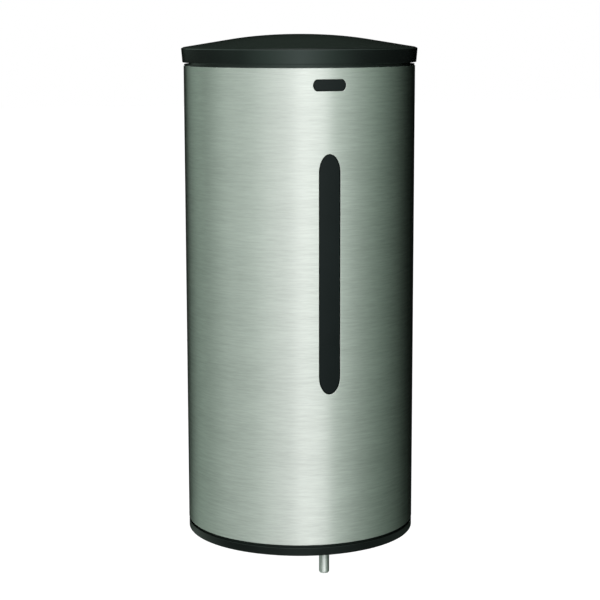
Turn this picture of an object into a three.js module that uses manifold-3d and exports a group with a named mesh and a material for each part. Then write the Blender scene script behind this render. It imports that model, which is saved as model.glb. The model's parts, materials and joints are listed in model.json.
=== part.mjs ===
import * as THREE from 'three';
import { mergeVertices } from 'three/addons/utils/BufferGeometryUtils.js';
import Module from 'manifold-3d';

// A wall-mounted automatic soap dispenser: a steel cylinder with a black hinged lid and a black base.
// Millimetres, +Z up. The wall is the plane y = 0 and the front faces -Y.

const wasm = await Module();
wasm.setup();

// Driving dimensions of the whole object
const shellRadius = 59;
const shellHeight = 236;
const shellWall = 1;
const wallTuck = 13;

// Clearances shared by all pieces
const gap = 0.3;
const slip = 0.4;
const overrun = 5;

// Wall plate and its hooks
const plateSideGap = 1.74;
const plateTopDrop = 53;
const plateThickness = 2.5;
const plateBottomRise = 13;
const plateHoleRadius = 2.5;
const plateHeadRadius = 4.5;
const plateHoleInset = 10;
const hookWidth = 14;
const hookSpacing = 36;
const hookThickness = 3;
const hookLipHeight = 8;
const upperHookDrop = 88;
const lowerHookRise = 48;

// Back panel, reservoir shelf and its posts
const panelThickness = 3;
const panelTongueWidth = 60;
const shelfRise = 67.5;
const shelfThickness = 2.5;
const linerWall = 1.6;
const postRadius = 4;
const postInset = 12;
const leftPostY = -6;
const rightPostY = -20;
const pegRadius = 2;
const cableHoleWidth = 28;
const cableHoleDepth = 13;
const cableHoleInset = 21;
const cableHoleFromPanel = 14.2;
const plateScrewRise = 26;

// Screws
const screwShankRadius = 1.2;
const screwHeadRadius = 3;
const screwHeadHeight = 1.2;
const screwSlotWidth = 0.8;
const screwSlotDepth = 0.6;
const screwBite = 12;
const counterboreDepth = 1.8;

// Steel shell openings, measured from the top edge of the steel down
const flangeReach = 7;
const slotWidth = 10.7;
const slotHeight = 118.3;
const slotCap = 9;
const slotTopDrop = 41.1;
const ovalWidth = 16.3;
const ovalHeight = 5.7;
const ovalCap = 2.2;
const ovalDrop = 8.2;
const windowRecess = 0.2;
const slotFlange = 3;
const ovalFlange = 2;

// Top frame: shoulder ring, neck and deck
const shoulderInset = 0.2;
const shoulderHeight = 0.8;
const neckInset = 2.7;
const neckWall = 2.4;
const neckHeight = 3.7;
const neckRearSetback = 19;
const deckThickness = 3;
const linerDepth = 12;

// Lid
const lidGap = 0.85;
const lidFootOverhang = 0.6;
const lidRimOverhang = 1.2;
const lidRimHeight = 7.05;
const lidEdgeInset = 1.35;
const lidEdgeRise = 0.64;
const coneEndShare = 0.5706;
const coneRise = 3.97;
const crownRise = 2.48;
const crownControlShare = 0.3098;
const crownSteps = 3;
const lidThickness = 2.2;
const lidNeckClearance = 0.9;
const lidBackGap = 3;
const lidBackWall = 1.6;
const lidBackWallBelowHinge = 3.6;
const sealWidth = 1.8;

// Lid hinge
const hingeFromWall = 7;
const hingeAboveShell = 6.6;
const knuckleRadius = 2.5;
const pinRadius = 1.2;
const lidKnuckleStart = 8;
const lidKnuckleLength = 12;
const frameKnuckleLength = 8;
const knuckleWeb = 3;

// Lid lock on the right side
const lockDrop = 17;
const lockBarrelRadius = 6.5;
const lockFaceInset = 0.2;
const lockShoulderRadius = 8.2;
const lockShoulderThickness = 1.2;
const lockShoulderInset = 0.9;
const lockLugThickness = 1.6;
const lockLength = 17.8;
const lockPlugRadius = 4.2;
const lockNutRadius = 9.5;
const lockNutHeight = 3;
const keySlotWidth = 0.9;
const keySlotLength = 5.5;
const keySlotDepth = 2.5;
const camThickness = 2;
const camHubRadius = 5.5;
const camArmWidth = 7;
const camReach = 17;
const camSquare = 5;
const strikeThickness = 1.5;
const strikeWidth = 6;
const strikeFromAxis = 12.5;
const strikeFootBelowCam = 0.5;
const strikeBossDrop = 5;

// Reservoir
const reservoirFromBox = 2;
const reservoirTopDrop = 34;
const reservoirWall = 2;
const mouthFromStrike = 9.2;
const mouthFromFront = 17.6;
const mouthFromBack = 13;
const mouthCorner = 8;

// Outlet fitting under the reservoir
const outletFlangeRadius = 8;
const outletFlangeHeight = 2;
const outletStemRadius = 4;
const outletStemDrop = 3;
const gasketHeight = 0.9;
const barbLength = 6;

// Battery box and cells
const cellRadius = 7.25;
const cellLength = 50.5;
const cellNubRadius = 2.75;
const cellNubHeight = 1;
const cellCount = 4;
const cellPitch = 15.3;
const boxWall = 1.5;
const boxFromPanel = 6.9;
const contactThickness = 0.6;
const contactWidth = 10;
const coverLip = 0.8;
const boxRibInset = 10;
const boxRibWidth = 3;

// Power switch under the lid
const switchInset = 7.12;
const switchDirection = THREE.MathUtils.degToRad(149.24);
const switchLength = 11;
const switchWidth = 7;
const switchHeight = 7;
const switchFloor = 1.5;
const knobLength = 3;
const knobWidth = 3;
const knobRise = 2;
const switchTravel = 4;

// Circuit boards
const boardThickness = 1.6;
const controlWidth = 34;
const controlHeight = 50;
const controlInset = 33;
const controlFromPanel = 8.2;
const controlRise = 31;
const chipSize = 10;
const chipHeight = 1.6;
const connectorWidth = 16;
const connectorHeight = 6;
const connectorDepth = 5;
const indicatorBoardWidth = 18;
const indicatorBoardHeight = 12;
const indicatorInset = 3.9;
const ledRadius = 1.5;
const ledLength = 2.6;
const sensorBoardWidth = 24;
const sensorBoardDepth = 17;
const sensorFromNozzle = 18.3;
const sensorBoardHeight = 8.9;
const eyeRadius = 2.5;
const eyeLength = 6;
const eyeSpacing = 12;
const sensorWindowLength = 22;
const sensorWindowWidth = 8;
const sensorWindowFlange = 1;
const sensorPostRadius = 1.5;

// Base
const baseInset = 0.1;
const baseHeight = 5.6;
const baseFloor = 3;
const baseEdge = 0.4;
const grooveHeight = 1.5;
const grooveDepth = 2;
const basePlugHeight = 10;
const baseBackGap = 0.5;

// Nozzle
const nozzleInset = 10.7;
const nozzleRadius = 2.6;
const nozzleBore = 1.7;
const nozzleDrop = 17.7;
const nozzleChamfer = 0.8;
const nozzleFlangeRadius = 5;
const nozzleFlangeHeight = 1.6;
const nozzleNutRadius = 5.5;
const nozzleNutHeight = 2.4;

// Peristaltic pump: the tube runs round the rotor in the plane x = 0
const pumpAxisY = -16;
const pumpAxisRise = 34;
const tubeRadius = 2.5;
const tubeBore = 1.5;
const tubeLoopRadius = 14;
const tubeRise = 4;
const barbBore = 0.8;
const rollerRadius = 3.5;
const rollerCount = 3;
const rollerPin = 1;
const rollerOverTube = 0.3;
const rotorDiscRadius = 9.5;
const rotorDiscThickness = 1.5;
const rotorShaftRadius = 2;
const pumpWall = 2;
const pumpBackWall = 2.5;
const pumpTop = 22;
const pumpFrontTop = 3.5;
const pumpCoverThickness = 2;

// Gear train and motor
const gearModule = 0.8;
const pinionTeeth = 12;
const wheelTeeth = 36;
const gearWidth = 3;
const gearBacklash = 0.2;
const pressureAngle = THREE.MathUtils.degToRad(20);
const wheelAddendumShare = 0.8;
const pinionAddendumShare = 1;
const dedendumShare = 1.3;
const idlerDirection = THREE.MathUtils.degToRad(30);
const motorDirection = THREE.MathUtils.degToRad(-60);
const gearSideGap = 0.6;
const gearboxWall = 1.5;
const idlerPinRadius = 1.5;
const motorRadius = 10;
const motorFlat = 7.5;
const motorLength = 25;
const motorShaftRadius = 1;
const motorShaftDepth = 4;
const armDrop = 20;
const armRise = 8;
const footReach = 12;
const footThickness = 2;

// Leads that stay inside
const leadRadius = 1;
const leadSides = 8;
const leadPitch = 3.6;

// How finely round forms are drawn
const shellSegments = 48;
const roundSegments = 18;
const smallSegments = 8;
const nutSides = 6;
const tubeSteps = 34;
const tubeSides = 8;

// Heights and planes that several pieces share, from the axis of the cylinder
const shellTop = shellHeight / 2;
const shellBottom = -shellTop;
const shellInner = shellRadius - shellWall;
const linerRadius = shellInner - slip;
const linerInner = linerRadius - linerWall;
const axisToWall = shellRadius - wallTuck;
const baseRadius = shellRadius - baseInset;
const neckRadius = shellRadius - neckInset;
const lidFootRadius = shellRadius + lidFootOverhang;
const lidRimRadius = shellRadius + lidRimOverhang;
const reservoirRadius = linerInner - slip;
const plateFront = axisToWall - plateThickness;
const shellBack = plateFront + shellWall;
const panelBack = plateFront - gap;
const panelFront = panelBack - panelThickness;
const shellEdge = Math.sqrt(shellRadius ** 2 - shellBack ** 2);
const plateHalfWidth = shellEdge - flangeReach - plateSideGap;
const shoulderTop = shellTop + shoulderHeight;
const deckTop = shellTop + gap;
const deckBottom = deckTop - deckThickness;
const neckTop = shoulderTop + neckHeight;
const lidBottom = shoulderTop + lidGap;
const hingeY = axisToWall - hingeFromWall;
const hingeZ = shellTop + hingeAboveShell;
const neckRearLimit = hingeY - neckRearSetback;
const slotCentre = shellTop - slotTopDrop - slotHeight / 2;
const ovalCentre = shellTop - ovalDrop;
const baseBottom = shellBottom - baseHeight;
const floorTop = baseBottom + baseFloor;
const shelfHeight = shellBottom + shelfRise;
const shelfBottom = shelfHeight - shelfThickness;
const postBottom = floorTop + gap;
const lockZ = shellTop - lockDrop;
const outletY = pumpAxisY + tubeLoopRadius;
const upperHookHeight = shellTop - upperHookDrop;
const lowerHookHeight = shellBottom + lowerHookRise;
const plateScrewHeight = shellBottom + plateScrewRise;
const rightPostX = shellInner - postInset;
const leftPostX = -rightPostX;
const cableHoleX = cableHoleInset - shellInner;
const cableHoleY = panelFront - cableHoleFromPanel;
const boxDepth = cellPitch + 2 * boxWall;
const boxBack = panelFront - boxFromPanel;
const boxFront = boxBack - boxDepth;
const reservoirBack = boxFront - reservoirFromBox;
const reservoirTop = shellTop - reservoirTopDrop;
const camPlane = shellInner - lockLength;
const lockShoulderInner = shellInner - lockShoulderInset - lockShoulderThickness;
const lockLugInner = lockShoulderInner - gap - lockLugThickness;
const strikeInner = camPlane - strikeWidth / 2;
const strikeOuter = camPlane + camThickness + slip + strikeThickness;
const mouthHalfWidth = strikeInner - mouthFromStrike;
const mouthFront = mouthFromFront - reservoirRadius;
const mouthBack = reservoirBack - mouthFromBack;
const switchX = (linerInner - switchInset) * Math.cos(switchDirection);
const switchY = (linerInner - switchInset) * Math.sin(switchDirection);
const controlX = controlInset - shellInner;
const controlY = panelFront - controlFromPanel;
const controlZ = shellBottom + controlRise;
const indicatorBoardY = indicatorInset - linerInner;
const nozzleReach = shellRadius - nozzleInset;
const sensorY = sensorFromNozzle - nozzleReach;
const pumpAxisZ = shellBottom + pumpAxisRise;

// Turns a three.js geometry into a closed solid with its faces pointing out
function solid(geometry) {
  const bare = geometry.clone();
  bare.deleteAttribute('normal');
  bare.deleteAttribute('uv');
  const merged = mergeVertices(bare);
  const corners = merged.index.array;
  const points = merged.attributes.position;
  const kept = [];
  let volume = 0;
  for (let i = 0; i < corners.length; i += 3) {
    const [a, b, c] = corners.slice(i, i + 3);
    if (a === b || b === c || c === a) continue;
    kept.push(a, b, c);
    const [p, q, r] = [a, b, c].map((corner) => new THREE.Vector3().fromBufferAttribute(points, corner));
    volume += p.dot(q.cross(r));
  }
  if (volume < 0) kept.reverse();
  return new wasm.Manifold(new wasm.Mesh({
    numProp: 3,
    vertProperties: Float32Array.from(points.array),
    triVerts: Uint32Array.from(kept),
  }));
}

// A box given by its lowest and highest corners
function block(x0, x1, y0, y1, z0, z1) {
  const box = new THREE.BoxGeometry(x1 - x0, y1 - y0, z1 - z0);
  return solid(box.translate((x0 + x1) / 2, (y0 + y1) / 2, (z0 + z1) / 2));
}

// A round rod from one end to the other along Z
function rod(radius, z0, z1, x = 0, y = 0, segments = roundSegments) {
  const cylinder = new THREE.CylinderGeometry(radius, radius, z1 - z0, segments);
  return solid(cylinder.rotateX(Math.PI / 2).translate(x, y, (z0 + z1) / 2));
}

// A round rod along X
function crossRod(radius, x0, x1, y, z, segments = roundSegments) {
  const cylinder = new THREE.CylinderGeometry(radius, radius, x1 - x0, segments);
  return solid(cylinder.rotateZ(Math.PI / 2).translate((x0 + x1) / 2, y, z));
}

// A round rod along Y
function deepRod(radius, y0, y1, x, z, segments = smallSegments) {
  return solid(new THREE.CylinderGeometry(radius, radius, y1 - y0, segments).translate(x, (y0 + y1) / 2, z));
}

// A turned solid from its outline of radius and height pairs
function turned(outline, segments = shellSegments) {
  const points = outline.map(([radius, height]) => new THREE.Vector2(radius, height));
  const onAxis = points[0].x === 0 && points[points.length - 1].x === 0;
  if (!onAxis) points.push(points[0].clone());
  return solid(new THREE.LatheGeometry(points, segments).rotateX(Math.PI / 2));
}

// An upright prism over a flat outline
function prism(outline, z0, z1, segments = smallSegments) {
  const settings = { depth: z1 - z0, bevelEnabled: false, curveSegments: segments };
  return solid(new THREE.ExtrudeGeometry(outline, settings).translate(0, 0, z0));
}

// A prism whose outline faces the front, from the axis out past the shell
function frontPrism(outline, height, turn = 0) {
  const settings = { depth: shellRadius + overrun, bevelEnabled: false, curveSegments: smallSegments };
  const geometry = new THREE.ExtrudeGeometry(outline, settings).rotateZ(turn).rotateX(Math.PI / 2);
  return solid(geometry.translate(0, 0, height));
}

// An upright slot with half-elliptical ends
function slotOutline(width, height, cap) {
  const outline = new THREE.Shape();
  outline.absellipse(0, height / 2 - cap, width / 2, cap, 0, Math.PI);
  outline.absellipse(0, cap - height / 2, width / 2, cap, Math.PI, 2 * Math.PI);
  return outline;
}

// A rectangle with round corners
function roundedOutline(x0, x1, y0, y1, corner) {
  const outline = new THREE.Shape();
  outline.absarc(x1 - corner, y0 + corner, corner, -Math.PI / 2, 0);
  outline.absarc(x1 - corner, y1 - corner, corner, 0, Math.PI / 2);
  outline.absarc(x0 + corner, y1 - corner, corner, Math.PI / 2, Math.PI);
  outline.absarc(x0 + corner, y0 + corner, corner, Math.PI, 1.5 * Math.PI);
  return outline;
}

// The outline of a belt laid round circles given as x, y and radius
function beltOutline(circles) {
  const points = [];
  for (const [x, y, radius] of circles) {
    for (let step = 0; step < roundSegments; step += 1) {
      const angle = 2 * Math.PI * step / roundSegments;
      points.push(new THREE.Vector2(x + radius * Math.cos(angle), y + radius * Math.sin(angle)));
    }
  }
  points.sort((p, q) => p.x - q.x || p.y - q.y);
  const side = (ordered) => {
    const chain = [];
    for (const point of ordered) {
      while (chain.length > 1) {
        const last = chain[chain.length - 1];
        const before = chain[chain.length - 2];
        if (last.clone().sub(before).cross(point.clone().sub(before)) > 0) break;
        chain.pop();
      }
      chain.push(point);
    }
    return chain.slice(0, -1);
  };
  return new THREE.Shape([...side(points), ...side([...points].reverse())]);
}

// Adds a named piece with its own finish to a group
function addPiece(group, name, body, [color, roughness, metalness]) {
  const { vertProperties, triVerts } = body.getMesh();
  const geometry = new THREE.BufferGeometry();
  geometry.setAttribute('position', new THREE.BufferAttribute(vertProperties, 3));
  geometry.setIndex(new THREE.BufferAttribute(triVerts, 1));
  geometry.computeVertexNormals();
  const piece = new THREE.Mesh(geometry, new THREE.MeshStandardMaterial({ color, roughness, metalness }));
  piece.name = name;
  group.add(piece);
  return piece;
}

// Finishes as colour, roughness and metalness
const brushedSteel = [0xb4beb7, 0.35, 1];
const plainSteel = [0x9a9f9f, 0.45, 1];
const blackPlastic = [0x17191a, 0.5, 0];
const greyPlastic = [0x4a4f52, 0.6, 0];
const smokedPlastic = [0x1c2221, 0.25, 0];
const clearPlastic = [0xd9dedb, 0.3, 0];
const whitePlastic = [0xdedbd0, 0.5, 0];
const siliconeFinish = [0xc9cdc6, 0.6, 0];
const rubberFinish = [0x222222, 0.9, 0];
const brass = [0xb9964c, 0.4, 1];
const boardGreen = [0x1f5a3a, 0.6, 0];
const cellFinish = [0x8b8f94, 0.4, 0.6];

const dispenser = new THREE.Group();
const body = new THREE.Group();
body.position.y = -axisToWall;
dispenser.add(body);

// The plate that is screwed to the wall, with four hooks that carry the dispenser
function makeWallPlate() {
  const low = shellBottom + plateBottomRise;
  const high = shellTop - plateTopDrop;
  let plate = block(-plateHalfWidth, plateHalfWidth, plateFront, axisToWall, low, high);
  const lipFront = panelFront - gap - hookThickness;
  for (const height of [upperHookHeight, lowerHookHeight]) {
    for (const x of [-hookSpacing / 2, hookSpacing / 2]) {
      const [left, right] = [x - hookWidth / 2, x + hookWidth / 2];
      const arm = block(left, right, lipFront, axisToWall, height - hookThickness, height);
      const lip = block(left, right, lipFront, panelFront - gap, height - hookThickness,
        height - hookThickness + hookLipHeight);
      plate = plate.add(arm).add(lip);
    }
  }
  for (const z of [low + plateHoleInset, high - plateHoleInset]) {
    for (const x of [plateHoleInset - plateHalfWidth, plateHalfWidth - plateHoleInset]) {
      const countersink = new THREE.CylinderGeometry(plateHoleRadius, plateHeadRadius, plateThickness,
        roundSegments);
      const centre = (plateFront + axisToWall) / 2;
      plate = plate.subtract(deepRod(plateHoleRadius, plateFront - overrun, axisToWall + overrun, x, z));
      plate = plate.subtract(solid(countersink.translate(x, centre, z)));
    }
  }
  return plate.subtract(
    deepRod(screwShankRadius + gap, plateFront - overrun, axisToWall + overrun, 0, plateScrewHeight));
}
addPiece(body, 'wall_plate', makeWallPlate(), plainSteel);

// The black back panel with the shelf for the reservoir, the posts for the base and the board pegs
function makeBackPanel() {
  const disc = rod(linerRadius, shellBottom, shellTop, 0, 0, shellSegments);
  const panelLow = shellBottom + basePlugHeight + gap;
  let panel = block(-shellRadius, shellRadius, panelFront, panelBack, panelLow, deckBottom - gap);
  panel = panel.intersect(disc);
  panel = panel.add(block(-panelTongueWidth / 2, panelTongueWidth / 2, panelFront, panelBack, postBottom,
    panelLow + panelThickness));
  let shelf = rod(reservoirRadius, shelfBottom, shelfHeight, 0, 0, shellSegments);
  shelf = shelf.subtract(block(-shellRadius, shellRadius, panelBack, shellRadius, shelfBottom - overrun,
    shelfHeight + overrun));
  panel = panel.add(shelf);
  for (const [x, y] of [[leftPostX, leftPostY], [rightPostX, rightPostY]]) {
    panel = panel.add(rod(postRadius, postBottom, shelfHeight, x, y));
    panel = panel.subtract(rod(screwShankRadius + gap, postBottom - overrun, postBottom + screwBite, x, y,
      smallSegments));
  }
  const pegLength = controlY + boardThickness / 2 + gap;
  for (const side of [-1, 1]) {
    const x = controlX - side * (controlWidth / 2 - 3 * pegRadius);
    const z = controlZ + side * (controlHeight / 2 - 2 * pegRadius);
    panel = panel.add(deepRod(pegRadius, pegLength, panelFront + panelThickness / 2, x, z));
  }
  for (const height of [upperHookHeight, lowerHookHeight]) {
    for (const x of [-hookSpacing / 2, hookSpacing / 2]) {
      panel = panel.subtract(block(x - hookWidth / 2 - slip, x + hookWidth / 2 + slip, panelFront - overrun,
        panelBack + overrun, height - hookThickness - hookLipHeight, height + gap));
    }
  }
  const holeLow = shelfBottom - overrun;
  const holeHigh = shelfHeight + overrun;
  panel = panel.subtract(block(cableHoleX - cableHoleWidth / 2, cableHoleX + cableHoleWidth / 2,
    cableHoleY - cableHoleDepth / 2, cableHoleY + cableHoleDepth / 2, holeLow, holeHigh));
  panel = panel.subtract(rod(outletStemRadius + slip, holeLow, holeHigh, 0, outletY));
  return panel.subtract(
    deepRod(screwShankRadius + gap, panelFront - overrun, panelBack + overrun, 0, plateScrewHeight));
}
addPiece(body, 'back_panel', makeBackPanel(), blackPlastic);

// A slotted pan-head screw that points up from its head at the origin
function makeScrew(reach) {
  const head = rod(screwHeadRadius, 0, screwHeadHeight);
  const slot = block(-screwHeadRadius, screwHeadRadius, -screwSlotWidth / 2, screwSlotWidth / 2, -overrun,
    screwSlotDepth);
  return head.add(rod(screwShankRadius, 0, reach, 0, 0, smallSegments)).subtract(slot);
}

// The screw that locks the back panel to the wall plate
const plateScrew = addPiece(body, 'plate_screw',
  makeScrew(screwHeadHeight + gap + panelThickness + gap + plateThickness / 2), plainSteel);
plateScrew.position.set(0, panelFront - gap - screwHeadHeight, plateScrewHeight);
plateScrew.rotation.x = -Math.PI / 2;

// The screws that hold the base to the posts
const screwSeat = baseBottom + counterboreDepth - gap - screwHeadHeight;
const baseScrewReach = postBottom + screwBite - overrun / 2 - screwSeat;
for (const [name, x, y] of [['base_screw_left', leftPostX, leftPostY],
  ['base_screw_right', rightPostX, rightPostY]]) {
  const screw = addPiece(body, name, makeScrew(baseScrewReach), plainSteel);
  screw.position.set(x, y, screwSeat);
}

// The outlines of the two openings in the front of the steel
const sightOutline = (margin) => slotOutline(slotWidth + 2 * margin, slotHeight + 2 * margin,
  slotCap + margin);
const ovalOutline = (margin) => slotOutline(ovalHeight + 2 * margin, ovalWidth + 2 * margin,
  ovalCap + margin);
const sightPrism = (margin) => frontPrism(sightOutline(margin), slotCentre);
const ovalPrism = (margin) => frontPrism(ovalOutline(margin), ovalCentre, Math.PI / 2);

// A length of round wall between two radii
function wall(outer, inner, z0, z1) {
  return turned([[inner, z0], [outer, z0], [outer, z1], [inner, z1]]);
}

// The steel wrap: a round sheet open at the back, with return flanges behind the back panel
function makeShell() {
  const disc = rod(shellRadius, shellBottom, shellTop, 0, 0, shellSegments);
  let shell = wall(shellRadius, shellInner, shellBottom, shellTop);
  shell = shell.subtract(block(-shellRadius, shellRadius, shellBack, shellRadius + overrun,
    shellBottom - overrun, shellTop + overrun));
  const flangeEnd = shellEdge - flangeReach;
  for (const [x0, x1] of [[-shellRadius, -flangeEnd], [flangeEnd, shellRadius]]) {
    shell = shell.add(block(x0, x1, plateFront, shellBack, shellBottom, shellTop).intersect(disc));
  }
  shell = shell.subtract(sightPrism(0)).subtract(ovalPrism(0));
  return shell.subtract(crossRod(lockBarrelRadius + slip, 0, shellRadius + overrun, 0, lockZ));
}
addPiece(body, 'steel_shell', makeShell(), brushedSteel);

// The two smoked windows: each fills its opening and has a flange behind the steel
function makeWindow(outlinePrism, centre, halfHeight, flange) {
  const [low, high] = [centre - halfHeight - flange, centre + halfHeight + flange];
  const face = wall(shellRadius - windowRecess, linerInner + slip, low, high)
    .intersect(outlinePrism(-gap));
  return face.add(wall(shellInner - gap, linerInner + slip, low, high).intersect(outlinePrism(flange)));
}
addPiece(body, 'sight_window', makeWindow(sightPrism, slotCentre, slotHeight / 2, slotFlange),
  smokedPlastic);
addPiece(body, 'indicator_window', makeWindow(ovalPrism, ovalCentre, ovalHeight / 2, ovalFlange),
  smokedPlastic);

// The top frame: shoulder ring, neck, liner, deck and the fixed knuckles of the lid hinge
const coverHalfWidth = cellCount * cellPitch / 2 + boxWall - coverLip;

function makeTopFrame() {
  const innerNeck = neckRadius - neckWall;
  const linerLow = deckTop - linerDepth;
  let frame = turned([[linerInner, linerLow], [linerRadius, linerLow], [linerRadius, deckTop],
    [shellRadius - shoulderInset, deckTop], [shellRadius - shoulderInset, shoulderTop],
    [neckRadius, shoulderTop], [neckRadius, neckTop], [innerNeck, neckTop], [innerNeck, deckBottom],
    [linerInner, deckBottom]]);
  frame = frame.subtract(block(-shellRadius, shellRadius, neckRearLimit, shellRadius, shoulderTop,
    neckTop + overrun));
  frame = frame.add(rod(linerInner, deckBottom, deckTop, 0, 0, shellSegments));
  frame = frame.subtract(block(-shellRadius, shellRadius, panelBack, shellRadius, linerLow - overrun,
    shoulderTop + overrun));
  frame = frame.subtract(block(-shellRadius, shellRadius, panelFront - gap, shellRadius,
    linerLow - overrun, deckBottom));
  const knuckleStart = lidKnuckleStart + lidKnuckleLength + slip;
  for (const side of [-1, 1]) {
    const ends = [side * knuckleStart, side * (knuckleStart + frameKnuckleLength)];
    const [x0, x1] = [Math.min(...ends), Math.max(...ends)];
    const post = block(x0, x1, hingeY - knuckleRadius, hingeY + knuckleRadius, deckBottom, hingeZ);
    frame = frame.add(post).add(crossRod(knuckleRadius, x0, x1, hingeY, hingeZ));
  }
  const boreEnd = knuckleStart + frameKnuckleLength + overrun;
  frame = frame.subtract(crossRod(pinRadius + gap, -boreEnd, boreEnd, hingeY, hingeZ, smallSegments));
  const [low, high] = [deckBottom - overrun, shoulderTop + overrun];
  const filler = roundedOutline(-mouthHalfWidth + reservoirWall, mouthHalfWidth - reservoirWall,
    mouthFront + reservoirWall, mouthBack - reservoirWall, mouthCorner - reservoirWall);
  frame = frame.subtract(prism(filler, low, high));
  frame = frame.subtract(block(-coverHalfWidth - slip, coverHalfWidth + slip, boxFront + coverLip - slip,
    boxBack - coverLip + slip, low, high));
  const strikeSweep = 2 * strikeFromAxis + strikeWidth;
  frame = frame.subtract(block(strikeInner - 2 * slip, strikeOuter + 2 * slip, -strikeSweep,
    camArmWidth / 2 + 2 * slip, low, high));
  const knobReach = switchLength / 2 - switchFloor;
  frame = frame.subtract(block(switchX - knobReach, switchX + knobReach, switchY - knobWidth / 2 - slip,
    switchY + knobWidth / 2 + slip, low, high));
  frame = frame.subtract(block(-indicatorBoardWidth / 2 - ovalFlange, indicatorBoardWidth / 2 + ovalFlange,
    -shellRadius, indicatorBoardY - boardThickness, linerLow - overrun, deckBottom));
  const lockHalf = lockNutRadius + slip;
  frame = frame.subtract(block(lockLugInner, shellRadius, -lockHalf, lockHalf, linerLow - overrun,
    lockZ + lockHalf));
  frame = frame.add(block(lockLugInner, lockShoulderInner - gap, -lockNutRadius - lockLugThickness,
    lockNutRadius + lockLugThickness, lockZ - lockNutRadius, deckTop - deckThickness / 2));
  return frame.subtract(crossRod(lockBarrelRadius + gap, 0, shellRadius, 0, lockZ));
}
addPiece(body, 'top_frame', makeTopFrame(), blackPlastic);

// The lid and what moves with it
const lidGroup = new THREE.Group();
body.add(lidGroup);

// The outline of the lid's top from the rim in to the middle, lowered by a drop
function lidTop(startRadius, drop) {
  const rimTop = lidBottom + lidRimHeight;
  const coneStart = lidRimRadius - lidEdgeInset;
  const coneEndRadius = lidRimRadius * coneEndShare;
  const slope = coneRise / (coneStart - coneEndRadius);
  const coneFoot = rimTop + lidEdgeRise - drop;
  const crownFoot = coneFoot + coneRise;
  const crown = new THREE.QuadraticBezierCurve(
    new THREE.Vector2(coneEndRadius, crownFoot),
    new THREE.Vector2(lidRimRadius * crownControlShare, crownFoot + crownRise),
    new THREE.Vector2(0, crownFoot + crownRise));
  const points = crown.getPoints(crownSteps).map((point) => [point.x, point.y]);
  return [[startRadius, coneFoot + slope * (coneStart - startRadius)], ...points];
}

function makeLid() {
  const rimTop = lidBottom + lidRimHeight;
  const back = axisToWall - lidBackGap;
  const skirtInner = neckRadius + lidNeckClearance;
  const outside = turned([[0, lidBottom], [lidFootRadius, lidBottom], [lidRimRadius, rimTop],
    ...lidTop(lidRimRadius - lidEdgeInset, 0)]);
  const ceiling = lidTop(skirtInner, lidThickness);
  let hollow = turned([[0, lidBottom - overrun], [skirtInner, lidBottom - overrun], ...ceiling]);
  const behindWall = block(-lidRimRadius, lidRimRadius, back - lidBackWall, lidRimRadius + overrun,
    lidBottom - overrun, hingeZ + lidRimHeight);
  hollow = hollow.subtract(behindWall);
  let lid = outside.subtract(hollow);
  lid = lid.add(block(strikeInner, strikeOuter, -strikeFromAxis - strikeWidth / 2,
    -strikeFromAxis + strikeWidth / 2, hingeZ, hingeZ + strikeBossDrop).intersect(outside));
  const lidHinge = (x0, x1) => {
    const web = block(x0, x1, hingeY - knuckleWeb / 2, hingeY + knuckleWeb / 2, hingeZ,
      hingeZ + lidThickness + pinRadius);
    return web.add(crossRod(knuckleRadius, x0, x1, hingeY, hingeZ));
  };
  const knuckleEnd = lidKnuckleStart + lidKnuckleLength;
  lid = lid.add(lidHinge(-knuckleEnd, -lidKnuckleStart)).add(lidHinge(lidKnuckleStart, knuckleEnd));
  lid = lid.subtract(block(-lidRimRadius, lidRimRadius, back, lidRimRadius + overrun,
    lidBottom - overrun, hingeZ + lidRimHeight + overrun));
  lid = lid.subtract(block(-lidRimRadius - overrun, lidRimRadius + overrun, hingeY, lidRimRadius,
    lidBottom - overrun, hingeZ - lidBackWallBelowHinge));
  const reliefEnd = knuckleEnd + 2 * slip + frameKnuckleLength;
  for (const [x0, x1] of [[-reliefEnd, -knuckleEnd], [knuckleEnd, reliefEnd]]) {
    lid = lid.subtract(block(x0, x1, hingeY - knuckleRadius - slip, lidRimRadius, lidBottom - overrun,
      hingeZ + knuckleRadius + slip));
  }
  return lid.subtract(crossRod(pinRadius + gap, -reliefEnd, reliefEnd, hingeY, hingeZ, smallSegments));
}
addPiece(lidGroup, 'lid', makeLid(), blackPlastic);

// The rubber ring under the lid that meets the top of the neck
function makeLidSeal() {
  const [, ceilingAtNeck] = lidTop(neckRadius - gap, lidThickness)[0];
  const outer = neckRadius - gap;
  const ring = wall(outer, outer - sealWidth, neckTop + gap, ceilingAtNeck - gap);
  return ring.subtract(block(-shellRadius, shellRadius, neckRearLimit, shellRadius, neckTop - overrun,
    ceilingAtNeck + overrun));
}
addPiece(lidGroup, 'lid_seal', makeLidSeal(), rubberFinish);

// The steel hook under the lid that the lock's cam holds down
function makeStrike() {
  const legX = strikeOuter - strikeThickness;
  const footLow = lockZ - camArmWidth / 2 - strikeFootBelowCam - strikeThickness;
  const [y0, y1] = [-strikeFromAxis - strikeWidth / 2, -strikeFromAxis + strikeWidth / 2];
  const top = hingeZ - gap;
  const leg = block(legX, strikeOuter, y0, y1, footLow, top);
  const foot = block(strikeInner, strikeOuter, y0, y1, footLow, footLow + strikeThickness);
  const head = block(strikeInner, strikeOuter, y0, y1, top - strikeThickness, top);
  return leg.add(foot).add(head);
}
addPiece(lidGroup, 'lid_strike', makeStrike(), plainSteel);

// The steel pin of the lid hinge, held by the frame's knuckles
const pinEnd = lidKnuckleStart + lidKnuckleLength + slip + frameKnuckleLength;
addPiece(body, 'hinge_pin', crossRod(pinRadius, -pinEnd, pinEnd, hingeY, hingeZ, smallSegments), plainSteel);

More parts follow.
